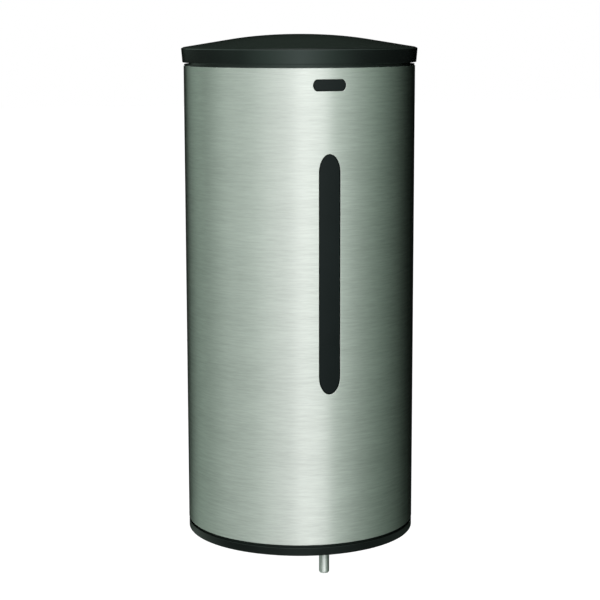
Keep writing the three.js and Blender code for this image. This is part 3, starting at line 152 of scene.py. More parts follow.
def spaced(low, high, count):
    """Evenly spaced values from low to high, count steps apart."""
    return [low + (high - low) * k / count for k in range(count + 1)]


def filleted(points, steps=4, most_of_side=0.48):
    """An outline of (a, b) or (a, b, radius) corners with its corners rounded."""
    made = []
    for i, corner in enumerate(points):
        if len(corner) < 3 or i in (0, len(points) - 1):
            made.append((corner[0], corner[1]))
            continue
        here = Vector(corner[:2])
        back = Vector(points[i - 1][:2]) - here
        ahead = Vector(points[i + 1][:2]) - here
        half = back.angle(ahead) / 2
        reach = min(corner[2] / math.tan(half), most_of_side * back.length, most_of_side * ahead.length)
        radius = reach * math.tan(half)
        middle = here + (back.normalized() + ahead.normalized()).normalized() * (radius / math.sin(half))
        first = here + back.normalized() * reach - middle
        turn = first.angle_signed(here + ahead.normalized() * reach - middle)
        for k in range(steps + 1):
            arm = first.copy()
            arm.rotate(Matrix.Rotation(-turn * k / steps, 2))
            made.append(tuple(middle + arm))
    return made


def turned(outline, segments=192):
    """A turned solid about the vertical axis; an outline that doesn't start on the axis closes on itself."""
    bm = bmesh.new()
    on_axis = 1e-6
    closed = outline[0][0] > on_axis
    rings = []
    for radius, height in outline:
        if radius < on_axis:
            rings.append([bm.verts.new((0, 0, height))])
        else:
            rings.append([bm.verts.new((radius * math.sin(a), -radius * math.cos(a), height))
                          for a in (2 * math.pi * k / segments for k in range(segments))])
    pairs = list(zip(rings, rings[1:] + rings[:1]))
    for low, high in pairs if closed else pairs[:-1]:
        for k in range(segments):
            face = []
            for ring, at in ((low, k), (low, k + 1), (high, k + 1), (high, k)):
                corner = ring[at % len(ring)]
                if corner not in face:
                    face.append(corner)
            if len(face) > 2:
                bm.faces.new(face)
    bmesh.ops.recalc_face_normals(bm, faces=bm.faces)
    return bm


def block(x0, x1, y0, y1, z0, z1):
    """A box between its low and high x, y and z."""
    bm = bmesh.new()
    size = Matrix.Diagonal((x1 - x0, y1 - y0, z1 - z0, 1))
    middle = Matrix.Translation(((x0 + x1) / 2, (y0 + y1) / 2, (z0 + z1) / 2))
    bmesh.ops.create_cube(bm, size=1, matrix=middle @ size)
    return bm


def back_cut(y, low, high):
    """What is taken away behind a flat back, between two heights."""
    return block(-REACH, REACH, y, REACH, low, high)


def rod(radius, start, end, axis="Z", segments=48):
    """A round rod along Z or X, from one point to another."""
    length = (Vector(end) - Vector(start)).length
    bm = turned([(0, 0), (radius, 0), (radius, length), (0, length)], segments)
    if axis == "X":
        bm.transform(Matrix.Rotation(math.pi / 2, 4, "Y"))
    bm.transform(Matrix.Translation(start))
    return bm


def prism(outline, z0, z1):
    """A flat outline drawn out from z0 to z1."""
    bm = bmesh.new()
    low = [bm.verts.new((x, y, z0)) for x, y in outline]
    high = [bm.verts.new((x, y, z1)) for x, y in outline]
    bm.faces.new(low[::-1])
    bm.faces.new(high)
    for k in range(len(outline)):
        j = (k + 1) % len(outline)
        bm.faces.new((low[k], low[j], high[j], high[k]))
    bmesh.ops.recalc_face_normals(bm, faces=bm.faces)
    return bm


def scratch(bm):
    """An object that lasts while something is carved."""
    mesh = bpy.data.meshes.new("scratch")
    bm.to_mesh(mesh)
    bm.free()
    obj = bpy.data.objects.new("scratch", mesh)
    bpy.context.scene.collection.objects.link(obj)
    return obj


def carved(base, steps):
    """base with solids added (UNION) or cut away (DIFFERENCE); millimetres in, metres out."""
    work = scratch(base)
    for operation, tool in steps:
        cutter = scratch(tool)
        modifier = work.modifiers.new("carve", "BOOLEAN")
        modifier.operation = operation
        modifier.solver = "EXACT"
        modifier.object = cutter
        bpy.context.view_layer.update()
        made = bpy.data.meshes.new_from_object(work.evaluated_get(bpy.context.evaluated_depsgraph_get()))
        work.modifiers.clear()
        old = work.data
        work.data = made
        bpy.data.meshes.remove(old)
        bpy.data.objects.remove(cutter)
    mesh = work.data
    bpy.data.objects.remove(work)
    bm = bmesh.new()
    bm.from_mesh(mesh)
    bmesh.ops.remove_doubles(bm, verts=bm.verts, dist=MERGE)
    bmesh.ops.dissolve_degenerate(bm, edges=bm.edges, dist=MERGE)
    bm.transform(Matrix.Translation((0, -AXIS_TO_WALL * MM, 0)) @ Matrix.Scale(MM, 4))
    bm.to_mesh(mesh)
    bm.free()
    return mesh


def dress(node, material, edge, angle=40, flat_angle=0.5):
    """A smooth copy of a CAD node with rounded edges, which replaces it."""
    source = frame["nodes"][node]
    bm = bmesh.new()
    bm.from_mesh(source.data)
    bmesh.ops.remove_doubles(bm, verts=bm.verts, dist=MERGE * MM)
    bmesh.ops.dissolve_limit(bm, angle_limit=math.radians(flat_angle), verts=bm.verts, edges=bm.edges)
    mesh = bpy.data.meshes.new(node + "_finished")
    bm.to_mesh(mesh)
    bm.free()
    smooth_sharp(mesh, angle)
    obj = add_object(mesh.name, mesh, material, source["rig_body"], [node])
    round_edges(obj, edge, angle)
    weigh_normals(obj)


# Curved sheets: points of a flat outline are laid round the cylinder

def arc_plan(radius):
    """A plain round sheet: the point, the outward direction and the direction along it."""
    def plan(s, depth):
        u = s / radius
        outward, along = (math.sin(u), -math.cos(u)), (math.cos(u), math.sin(u))
        return ((radius - depth) * outward[0], (radius - depth) * outward[1]), outward, along
    return plan


BEND_START = math.acos(-(SHELL_BACK - BEND_R) / (SHELL_R - BEND_R))
BEND_MIDDLE = ((SHELL_R - BEND_R) * math.sin(BEND_START), -(SHELL_R - BEND_R) * math.cos(BEND_START))
BEND_S = SHELL_R * BEND_START
FLANGE_S = BEND_S + BEND_R * (math.pi - BEND_START)
SHEET_S = FLANGE_S + BEND_MIDDLE[X] - FLANGE_END


def shell_plan(s, depth):
    """Where the steel sheet runs: the round front, a bend and a flat return flange on each side."""
    side, s = (1 if s >= 0 else -1), abs(s)
    if s <= BEND_S:
        u = s / SHELL_R
        middle, reach = (0, 0), SHELL_R
    elif s <= FLANGE_S:
        u = BEND_START + (s - BEND_S) / BEND_R
        middle, reach = BEND_MIDDLE, BEND_R
    else:
        u = math.pi
        middle, reach = (BEND_MIDDLE[X] - (s - FLANGE_S), BEND_MIDDLE[Y]), BEND_R
    normal, along = (math.sin(u), -math.cos(u)), (math.cos(u), math.sin(u))
    x, y = middle[0] + (reach - depth) * normal[0], middle[1] + (reach - depth) * normal[1]
    return (side * x, y), (side * normal[0], normal[1]), (along[0], side * along[1])


def slot_loop(width, height, cap, centre, radius, upright=True, caps=24, sides=30):
    """The outline of a slot with half-elliptical ends, as a function of its move into the material."""
    def loop(margin):
        half, rise = width / 2 + margin, cap + margin
        straight = height / 2 - cap
        points = []
        for k in range(caps + 1):
            a = math.pi * k / caps
            points.append((half * math.cos(a), straight + rise * math.sin(a), math.cos(a) / half,
                           math.sin(a) / rise))
        points += [(-half, straight - 2 * straight * k / sides, -1, 0) for k in range(1, sides)]
        for k in range(caps + 1):
            a = math.pi * (1 + k / caps)
            points.append((half * math.cos(a), -straight + rise * math.sin(a), math.cos(a) / half,
                           math.sin(a) / rise))
        points += [(half, -straight + 2 * straight * k / sides, 1, 0) for k in range(1, sides)]
        made = []
        for a, b, da, db in points:
            if not upright:
                a, b, da, db = -b, a, -db, da
            size = math.hypot(da, db)
            made.append((radius * math.asin(a / radius), centre + b, -da / size, -db / size))
        return made
    return loop


def side_hole_loop(hole_radius, centre, radius, count=72):
    """A round hole through the right side."""
    def loop(margin):
        made = []
        for k in range(count):
            a = 2 * math.pi * k / count
            reach = hole_radius + margin
            made.append((radius * (math.pi / 2 + math.asin(reach * math.cos(a) / radius)),
                         centre + reach * math.sin(a), -math.cos(a), -math.sin(a)))
        return made
    return loop


def rectangle_loop(half_s, half_z, columns, rows):
    """The outer edge of the sheet, with a point at each column and row."""
    def loop(margin):
        s, z = half_s - margin, half_z - margin
        inner_columns = [c for c in columns if abs(c) < half_s - 1]
        inner_rows = [r for r in rows if abs(r) < half_z - 1]
        made = [(c, z, 0, 1) for c in [s] + sorted(inner_columns, reverse=True)]
        made += [(-s, r, -1, 0) for r in [z] + sorted(inner_rows, reverse=True)]
        made += [(c, -z, 0, -1) for c in [-s] + sorted(inner_columns)]
        made += [(s, r, 1, 0) for r in [-z] + sorted(inner_rows)]
        return made
    return loop


def inside(point, polygon):
    """Whether a point of the flat outline's plane lies within a polygon."""
    s, z = point
    found = False
    for (s0, z0), (s1, z1) in zip(polygon, polygon[1:] + polygon[:1]):
        if (z0 > z) != (z1 > z) and s < (s1 - s0) * (z - z0) / (z1 - z0) + s0:
            found = not found
    return found


CLEAR_OF_EDGE, CLEAR_OF_HOLE = 0.5, 0.6


def curved_plate(name, outer, holes, plan, thickness, edge, columns, rows, bevel_steps=3, lift=0.0):
    """A sheet of even thickness laid along plan, with every edge rounded. Exact normals are set on it."""
    loops = [outer] + holes
    flat = [[(p[0], p[1]) for p in loop(edge)] for loop in loops]
    near = [[(p[0], p[1]) for p in outer(edge + CLEAR_OF_EDGE)]]
    near += [[(p[0], p[1]) for p in loop(edge + CLEAR_OF_HOLE)] for loop in holes]
    boxes = []
    for line in near:
        along, height = [p[0] for p in line], [p[1] for p in line]
        boxes.append((min(along), max(along), min(height), max(height)))

    def within(point, k):
        box = boxes[k]
        return box[0] < point[0] < box[1] and box[2] < point[1] < box[3] and inside(point, near[k])

    points, edges = [], []
    for loop in flat:
        start = len(points)
        points += loop
        edges += [(start + k, start + (k + 1) % len(loop)) for k in range(len(loop))]
    for s in columns:
        for z in rows:
            if within((s, z), 0) and not any(within((s, z), k + 1) for k in range(len(holes))):
                points.append((s, z))
    out, _, triangles, origin, _, _ = delaunay_2d_cdt([Vector(p) for p in points], edges, [], 0, 1e-6)
    where = {}
    for k, sources in enumerate(origin):
        for source in sources:
            where[source] = k
    kept = []
    for triangle in triangles:
        middle = (sum(out[k].x for k in triangle) / 3, sum(out[k].y for k in triangle) / 3)
        if inside(middle, flat[0]) and not any(inside(middle, hole) for hole in flat[1:]):
            kept.append(triangle)

    verts, normals, faces = [], [], []

    def vertex(s, z, depth, out_share, ds, dz, edge_share):
        (x, y), (nx, ny), (tx, ty) = plan(s, depth + lift)
        normal = Vector((nx * out_share + ds * tx * edge_share, ny * out_share + ds * ty * edge_share,
                         dz * edge_share)).normalized()
        verts.append((x, y, z))
        normals.append(normal)
        return len(verts) - 1

    front = [vertex(p.x, p.y, 0, 1, 0, 0, 0) for p in out]
    back = [vertex(p.x, p.y, thickness, -1, 0, 0, 0) for p in out]
    for triangle in kept:
        faces.append([front[k] for k in triangle])
        faces.append([back[k] for k in triangle])
    start = 0
    turns = [math.pi / 2 * k / bevel_steps for k in range(1, bevel_steps + 1)]
    for loop, line in zip(loops, flat):
        count = len(line)
        rings = [[front[where[start + k]] for k in range(count)]]
        for a in turns:
            rings.append([vertex(s, z, edge * (1 - math.cos(a)), math.cos(a), ds, dz, math.sin(a))
                          for s, z, ds, dz in loop(edge * (1 - math.sin(a)))])
        for a in reversed(turns):
            depth = thickness - edge * (1 - math.cos(a))
            rings.append([vertex(s, z, depth, -math.cos(a), ds, dz, math.sin(a))
                          for s, z, ds, dz in loop(edge * (1 - math.sin(a)))])
        rings.append([back[where[start + k]] for k in range(count)])
        for one, two in zip(rings, rings[1:]):
            for k in range(count):
                j = (k + 1) % count
                faces.append([one[k], one[j], two[j], two[k]])
        start += count
    ordered = []
    for face in faces:
        a, b, c = (Vector(verts[face[k]]) for k in (0, 1, 2))
        facing = (b - a).cross(c - a)
        if len(face) == 4:
            facing += (c - a).cross(Vector(verts[face[3]]) - a)
        mean = sum((normals[k] for k in face), Vector())
        ordered.append(face if facing.dot(mean) > 0 else face[::-1])
    mesh = bpy.data.meshes.new(name)
    mesh.from_pydata(place(verts), [], ordered)
    mesh.shade_smooth()
    mesh.normals_split_custom_set_from_vertices(normals)
    mesh.validate()
    return mesh


# Materials

class Nodes:
    """Short names for the shader nodes of one material."""

    def __init__(self, name):
        self.material = bpy.data.materials.new(name)
        self.material.use_nodes = True
        self.tree = self.material.node_tree
        self.tree.nodes.clear()
        self.out = self.add("ShaderNodeOutputMaterial")
        self.bsdf = self.add("ShaderNodeBsdfPrincipled")
        self.link(self.bsdf.outputs[0], self.out.inputs[0])
        self.place = self.add("ShaderNodeTexCoord").outputs["Object"]

    def add(self, kind, **settings):
        node = self.tree.nodes.new(kind)
        for key, value in settings.items():
            setattr(node, key, value)
        return node

    def link(self, source, target):
        self.tree.links.new(source, target)

    def put(self, socket, value):
        if isinstance(value, bpy.types.NodeSocket):
            self.link(value, socket)
        else:
            socket.default_value = value

    def math(self, operation, *values):
        node = self.add("ShaderNodeMath", operation=operation)
        for socket, value in zip(node.inputs, values):
            self.put(socket, value)
        return node.outputs[0]

    def axes(self, vector):
        node = self.add("ShaderNodeSeparateXYZ")
        self.link(vector, node.inputs[0])
        return node.outputs

    def vector(self, x, y, z):
        node = self.add("ShaderNodeCombineXYZ")
        for socket, value in zip(node.inputs, (x, y, z)):
            self.put(socket, value)
        return node.outputs[0]

    def noise(self, vector, scale, detail=2.0, roughness=0.5, distortion=0.0):
        node = self.add("ShaderNodeTexNoise")
        self.link(vector, node.inputs["Vector"])
        settings = {"Scale": scale, "Detail": detail, "Roughness": roughness, "Distortion": distortion}
        for key, value in settings.items():
            node.inputs[key].default_value = value
        return node.outputs["Fac"]

    def cells(self, vector, scale):
        node = self.add("ShaderNodeTexVoronoi")
        self.link(vector, node.inputs["Vector"])
        node.inputs["Scale"].default_value = scale
        return node.outputs["Distance"]

    def ramp(self, value, stops):
        node = self.add("ShaderNodeValToRGB")
        self.link(value, node.inputs[0])
        line = node.color_ramp
        while len(line.elements) < len(stops):
            line.elements.new(0.5)
        for element, (position, colour) in zip(line.elements, stops):
            element.position = position
            element.color = (*colour, 1)
        return node.outputs[0]

    def range(self, value, low, high, to_low, to_high):
        node = self.add("ShaderNodeMapRange")
        for socket, number in zip(node.inputs, (value, low, high, to_low, to_high)):
            self.put(socket, number)
        return node.outputs[0]

    def bump(self, height, distance, strength):
        node = self.add("ShaderNodeBump")
        node.inputs["Strength"].default_value = strength
        node.inputs["Distance"].default_value = distance
        self.link(height, node.inputs["Height"])
        return node.outputs[0]

    def mix(self, one, share, two):
        """share of one, the rest of two."""
        return self.math("ADD", self.math("MULTIPLY", one, share), self.math("MULTIPLY", two, 1 - share))

    def set(self, **values):
        for key, value in values.items():
            self.put(self.bsdf.inputs[key.replace("_", " ")], value)


def shades(colour, spread):
    """A colour made darker and lighter by the same share."""
    return [tuple(min(1.0, c * (1 + by)) for c in colour) for by in (-spread, spread)]


def angle_round_axis(n, x, y):
    """The angle to the right from straight in front, seen from the cylinder's axis."""
    outward = n.math("ADD", y, AXIS_TO_WALL * MM)
    return n.math("ARCTAN2", x, n.math("MULTIPLY", outward, -1.0))


def brushed_metal(name, colour, grain=1.2, length=16.0, roughness=0.45):
    """Metal brushed level round the cylinder, with streaks of this height and length in millimetres."""
    n = Nodes(name)
    x, y, z = n.axes(n.place)
    along = n.math("MULTIPLY", angle_round_axis(n, x, y), SHELL_R * MM)

    def streak(long, high, seed, detail, rough):
        across = n.math("MULTIPLY", along, 1 / (long * MM))
        upward = n.math("MULTIPLY", z, 1 / (high * MM))
        return n.noise(n.vector(across, upward, seed), 1.0, detail, rough)

    fine = streak(length, grain, 0.0, 3.0, 0.65)
    hair = streak(length / 3, grain / 3.3, 3.0, 2.0, 0.6)
    broad = streak(250 / 3, 50 / 3, 7.0, 2.0, 0.5)
    low, high = shades(colour, 0.16)
    streaks = n.mix(fine, 0.6, hair)
    tone = n.mix(streaks, 0.8, broad)
    n.set(Base_Color=n.ramp(tone, [(0.34, low), (0.66, high)]), Metallic=1.0,
          Roughness=n.range(streaks, 0.3, 0.7, roughness - 0.05, roughness + 0.05))
    n.bsdf.inputs["Anisotropic"].default_value = 1.0
    n.bsdf.inputs["Anisotropic Rotation"].default_value = 0.25
    tangent = n.add("ShaderNodeVectorMath", operation="CROSS_PRODUCT")
    n.link(n.add("ShaderNodeNewGeometry").outputs["Normal"], tangent.inputs[0])
    tangent.inputs[1].default_value = (0.0, 0.0, 1.0)
    n.link(tangent.outputs[0], n.bsdf.inputs["Tangent"])
    n.set(Normal=n.bump(streaks, 0.01 * MM, 0.35))
    return n.material


def metal(name, colour, roughness, grain=0.4, wear=0.06):
    """Plain or plated metal with a faint grain and dull patches."""
    n = Nodes(name)
    fine = n.noise(n.place, 1 / (grain * MM), 3.0, 0.6)
    patch = n.noise(n.place, 45.0, 4.0, 0.6)
    low, high = shades(colour, 0.1)
    tone = n.mix(fine, 0.35, patch)
    n.set(Base_Color=n.ramp(tone, [(0.35, low), (0.65, high)]), Metallic=1.0,
          Roughness=n.range(tone, 0.35, 0.65, roughness - wear, roughness + wear),
          Normal=n.bump(fine, 0.01 * MM, 0.4))
    return n.material


def plastic(name, colour, roughness, grain=0.45, depth=0.02, spread=0.12, level=0.5, shine=(1.0, 1.0, 1.0)):
    """Moulded plastic: fine grain of this size and depth in millimetres, slight flow in colour and gloss."""
    n = Nodes(name)
    pits = n.cells(n.place, 1 / (grain * MM))
    fine = n.noise(n.place, 1.6 / (grain * MM), 2.0, 0.6)
    flow = n.noise(n.place, 28.0, 3.0, 0.55, 0.4)
    low, high = shades(colour, spread)
    tone = n.mix(fine, 0.3, flow)
    n.set(Base_Color=n.ramp(tone, [(0.35, low), (0.65, high)]),
          Roughness=n.range(flow, 0.35, 0.65, roughness - 0.04, roughness + 0.04),
          Normal=n.bump(n.math("ADD", pits, fine), depth * MM, 0.5))
    n.bsdf.inputs["Specular IOR Level"].default_value = level
    n.bsdf.inputs["Specular Tint"].default_value = (*shine, 1.0)
    return n.material


def clear_plastic(name, colour, roughness=0.25, transmission=0.6):
    """Milky plastic that lets part of the light through."""
    n = Nodes(name)
    flow = n.noise(n.place, 40.0, 3.0, 0.5)
    low, high = shades(colour, 0.06)
    n.set(Base_Color=n.ramp(flow, [(0.3, low), (0.7, high)]),
          Roughness=n.range(flow, 0.3, 0.7, roughness - 0.05, roughness + 0.08),
          Normal=n.bump(n.noise(n.place, 900.0, 2.0, 0.5), 0.02 * MM, 0.3))
    n.bsdf.inputs["Transmission Weight"].default_value = transmission
    n.bsdf.inputs["IOR"].default_value = 1.49
    return n.material


def circuit(name):
    """Green solder mask with lighter tracks."""
    n = Nodes(name)
    tracks = n.cells(n.place, 420.0)
    weave = n.noise(n.place, 1500.0, 2.0, 0.5)
    line = n.ramp(tracks, [(0.0, (0.02, 0.16, 0.07)), (0.42, (0.015, 0.1, 0.045)), (0.5, (0.03, 0.21, 0.1)),
                           (1.0, (0.012, 0.085, 0.04))])
    n.set(Base_Color=line, Roughness=n.range(weave, 0.3, 0.7, 0.3, 0.45),
          Normal=n.bump(tracks, 0.03 * MM, 0.5))
    return n.material


def cell_wrap(name):
    """A battery's shrink sleeve: dark barrel with a copper-coloured band, split by height."""
    n = Nodes(name)
    scuff = n.noise(n.place, 300.0, 4.0, 0.6)
    height = n.range(n.axes(n.place)[Z], 0.04, 0.12, 0.0, 1.0)
    band = n.ramp(height, [(0.0, (0.02, 0.022, 0.025)), (0.6, (0.03, 0.03, 0.034)), (0.64, (0.45, 0.24, 0.1)),
                           (1.0, (0.5, 0.28, 0.12))])
    n.set(Base_Color=band, Roughness=n.range(scuff, 0.3, 0.7, 0.25, 0.4), Metallic=0.4,
          Normal=n.bump(scuff, 0.01 * MM, 0.4))
    return n.material


brushed_steel = brushed_metal("brushed_steel_skin", (0.62, 0.655, 0.62))
plain_steel = metal("plain_steel_sheet", (0.52, 0.53, 0.53), 0.42)
tube_steel = metal("tube_steel", (0.6, 0.62, 0.6), 0.33, grain=0.25)
spout_steel = brushed_metal("spout_steel", (0.78, 0.82, 0.79), grain=0.3, length=3.0, roughness=0.34)
black_plastic = plastic("black_moulded_plastic", (0.003, 0.0042, 0.004), 0.22, grain=0.5,
                        shine=(0.8, 1.0, 0.93))
inner_black = plastic("black_inner_plastic", (0.016, 0.017, 0.018), 0.5, grain=0.6, depth=0.03)
grey_plastic = plastic("grey_moulded_plastic", (0.07, 0.08, 0.085), 0.55)
white_plastic = plastic("white_moulded_plastic", (0.7, 0.69, 0.64), 0.45, spread=0.04)
smoked = plastic("smoked_window", (0.0072, 0.012, 0.0118), 0.3, grain=1.2, depth=0.006, spread=0.08,
                 level=0.12)
clear = clear_plastic("clear_tank_plastic", (0.8, 0.83, 0.82))
silicone = clear_plastic("silicone_tube", (0.75, 0.76, 0.73), roughness=0.5, transmission=0.35)
rubber = plastic("rubber_seal", (0.014, 0.014, 0.015), 0.75, grain=0.8, depth=0.05, spread=0.2, level=0.3)
brass = metal("brass", (0.62, 0.45, 0.2), 0.3)
board = circuit("circuit_board_mask")
jacket = cell_wrap("cell_sleeve")
can = metal("motor_can_steel", (0.55, 0.55, 0.56), 0.3, grain=0.3)
lead_skin = plastic("lead_jacket", (0.45, 0.03, 0.025), 0.5, grain=0.5, spread=0.1)

# The finish of the CAD nodes that stay
kept_finish = {
    "brushed_steel": tube_steel, "plain_steel": plain_steel, "black_plastic": inner_black,
    "grey_plastic": grey_plastic, "white_plastic": white_plastic, "smoked_plastic": smoked,
    "clear_plastic": clear, "silicone": silicone, "rubber": rubber, "brass": brass,
    "circuit_board": board, "cell_jacket": jacket, "motor_can": can, "lead_jacket": lead_skin,
}
slot_of = {name: node.material_slots[0].material.name for name, node in frame["nodes"].items()}
for name, node in frame["nodes"].items():
    node.material_slots[0].material = kept_finish[slot_of[name].split(".")[0]]

# The steel wrap with its three openings
LOCK_HOLE_R = 6.9
ROUND_TURN, ROUND_STEPS = 137.5, 220
shell_columns = [SHELL_R * math.radians(a) for a in spaced(-ROUND_TURN, ROUND_TURN, ROUND_STEPS)]
shell_columns += [side * s for side in (-1, 1) for s in spaced(BEND_S, FLANGE_S, 6)]
shell_columns += [side * (FLANGE_S + SHEET_S) / 2 for side in (-1, 1)]
shell_rows = spaced(-HALF_HEIGHT, HALF_HEIGHT, 40)
shell_openings = [slot_loop(*SLOT, SHELL_R), slot_loop(*OVAL, SHELL_R, upright=False, sides=12),
                  side_hole_loop(LOCK_HOLE_R, LOCK_Z, SHELL_R)]
steel_mesh = curved_plate("steel_skin", rectangle_loop(SHEET_S, HALF_HEIGHT, shell_columns, shell_rows),
                          shell_openings, shell_plan, SHELL_WALL, SHELL_EDGE, shell_columns, shell_rows)
add_object("steel_skin", steel_mesh, brushed_steel, "chassis", ["steel_shell"])

# The smoked windows: a face that fills the opening, over a flange behind the steel
FACE_R, FACE_WALL, FACE_EDGE = 58.8, 1.2, 0.25
FLANGE_R, FLANGE_WALL, FLANGE_EDGE = 57.7, 1.3, 0.2


def grown(loop, by):
    """A hole's outline moved outwards and turned inside out, as a plate's own outline."""
    return lambda extra: [(s, z, -ds, -dz) for s, z, ds, dz in loop(by - extra)]


def window(name, size, flange, upright, node):
    """The face and the flange of one window."""
    width, height, cap, centre = size
    half_s, half_z = (width / 2, height / 2) if upright else (height / 2, width / 2)
    loop = slot_loop(width, height, cap, centre, SHELL_R, upright)
    for piece, by, spread, radius, wall, edge, nodes in (
            (name, -SLIP, 0, FACE_R, FACE_WALL, FACE_EDGE, [node]),
            (name + "_flange", flange, flange, FLANGE_R, FLANGE_WALL, FLANGE_EDGE, [])):
        columns = spaced(-half_s - spread, half_s + spread, 10)
        rows = spaced(centre - half_z - spread, centre + half_z + spread, 24)
        mesh = curved_plate(piece, grown(loop, by), [], arc_plan(SHELL_R), wall, edge, columns, rows,
                            lift=SHELL_R - radius)
        add_object(piece, mesh, smoked, "chassis", nodes)


window("sight_lens", SLOT, SIGHT_FLANGE, True, "sight_window")
window("indicator_lens", OVAL, OVAL_FLANGE, False, "indicator_window")

# The lid: a turned dome with a flat back, hinge knuckles and a boss for the hook
LID_LOW = corners("lid")[0][Z]
RIM_R, LID_BACK, CROWN_Z = corners("lid")[1]
LID_SPAN = (LID_LOW - 2 * OVERRUN, CROWN_Z + OVERRUN)
FOOT_R, RIM_TOP, RIM_EDGE = 59.6, 126.7, 0.35
CREASE_R, CREASE_Z, CREASE_EDGE = 58.85, 127.34, 0.6
CONE_R, CONE_Z, CROWN_R = 34.35, 131.31, 18.65
SLOPE = (CONE_Z - CREASE_Z) / (CREASE_R - CONE_R)
LID_WALL, LID_BACK_WALL, SKIRT_R = 2.2, 1.6, 57.2
HINGE_Y, HINGE_Z = middle_of("hinge_pin", Y), middle_of("hinge_pin", Z)
KNUCKLE_R, KNUCKLE_START, KNUCKLE_END = 2.5, 8.0, 20.0
WEB_HALF, WEB_TOP = 1.5, 128.0
RECESS_END, RECESS_DEPTH, RECESS_TOP = 28.8, 2.9, 127.5
BACK_FOOT_TOP = 121.0
PIN_HOLE_R, PIN_HOLE_END = 1.5, 33.0
BOSS_TOP = 129.0


def crown(drop, steps=22):
    """The middle of the dome, from the end of the cone to the axis."""
    points = []
    for k in range(steps + 1):
        t = k / steps
        r = (1 - t) ** 2 * CONE_R + 2 * t * (1 - t) * CROWN_R
        z = (1 - t) ** 2 * CONE_Z + 2 * t * (1 - t) * CROWN_Z + t * t * CROWN_Z
        points.append((r, z - drop))
    return points


def cone(start, drop, steps=6):
    """The straight slope from a radius to the dome's middle, without its last point."""
    foot = CREASE_Z + SLOPE * (CREASE_R - start) - drop
    return list(zip(spaced(start, CONE_R, steps), spaced(foot, CONE_Z - drop, steps)))[:-1]


def on_both_sides(start, end):
    """A stretch along X, and its mirror image first."""
    return [(-end, -start), (start, end)]


def lid_hollow():
    """The inside of the lid, down past its rim."""
    below = LID_LOW - OVERRUN
    outline = [(0, below), (SKIRT_R, below)] + cone(SKIRT_R, LID_WALL) + crown(LID_WALL)
    mesh = carved(turned(outline), [("DIFFERENCE", back_cut(LID_BACK - LID_BACK_WALL, *LID_SPAN))])
    bm = bmesh.new()
    bm.from_mesh(mesh)
    bm.transform(Matrix.Scale(1 / MM, 4) @ Matrix.Translation((0, AXIS_TO_WALL * MM, 0)))
    return bm


def lid_piece():
    """The dome with everything added to it and cut from it."""
    outline = filleted([(0, LID_LOW), (FOOT_R, LID_LOW, RIM_EDGE), (RIM_R, RIM_TOP, RIM_EDGE),
                        (CREASE_R, CREASE_Z, CREASE_EDGE), cone(CREASE_R, 0)[1]])
    low, high = corners("lid_strike")
    boss = block(low[X], high[X], low[Y], high[Y], high[Z] + SLIP, BOSS_TOP)
    steps = [("DIFFERENCE", lid_hollow()), ("UNION", boss)]
    for x0, x1 in on_both_sides(KNUCKLE_START, KNUCKLE_END):
        steps.append(("UNION", block(x0, x1, HINGE_Y - WEB_HALF, HINGE_Y + WEB_HALF, HINGE_Z, WEB_TOP)))
        steps.append(("UNION", rod(KNUCKLE_R, (x0, HINGE_Y, HINGE_Z), (x1, HINGE_Y, HINGE_Z), "X")))
    steps.append(("DIFFERENCE", back_cut(LID_BACK, *LID_SPAN)))
    steps.append(("DIFFERENCE", back_cut(HINGE_Y, LID_SPAN[0], BACK_FOOT_TOP)))
    for x0, x1 in on_both_sides(KNUCKLE_END, RECESS_END):
        steps.append(("DIFFERENCE", block(x0, x1, HINGE_Y - RECESS_DEPTH, REACH, LID_SPAN[0], RECESS_TOP)))
    ends = [(x, HINGE_Y, HINGE_Z) for x in (-PIN_HOLE_END, PIN_HOLE_END)]
    steps.append(("DIFFERENCE", rod(PIN_HOLE_R, *ends, "X", 24)))
    return carved(turned(outline + cone(CREASE_R, 0)[2:] + crown(0)), steps)


add_smooth("lid_cover", lid_piece(), 22, black_plastic, "lid", "lid")

# The base: a turned dish with its shadow groove, screw seats and openings
BASE_LOW = corners("base_cover")[0][Z]
BASE_R, BASE_BACK, BASE_TOP = corners("base_cover")[1]
BASE_EDGE, BASE_WALL, BASE_FLOOR = 0.4, 1.6, 3.0
GROOVE_DEPTH, GROOVE_LOW = 2.0, -119.5
UNDER_ROUND, SIDE_ROUND, GROOVE_ROUND = 0.2, 0.3, 0.15
NECK_R, NECK_BACK, NECK_LOW = 57.6, 39.9, -HALF_HEIGHT - SLIP
SCREW_R, SCREW_HEAD_R, SCREW_SEAT = 1.5, 3.4, 1.8
NOZZLE_Y, NOZZLE_HOLE_R = middle_of("nozzle", Y), 2.9
EYE_Y, EYE_HALF, EYE_R = middle_of("sensor_window", Y), 7.0, 4.0


def stadium(half, radius, y, steps=20):
    """A flat outline with two round ends, one beside the other."""
    points = []
    for side in (1, -1):
        first = -side * math.pi / 2
        for a in spaced(first, first + math.pi, steps):
            points.append((side * half + radius * math.cos(a), y + radius * math.sin(a)))
    return points


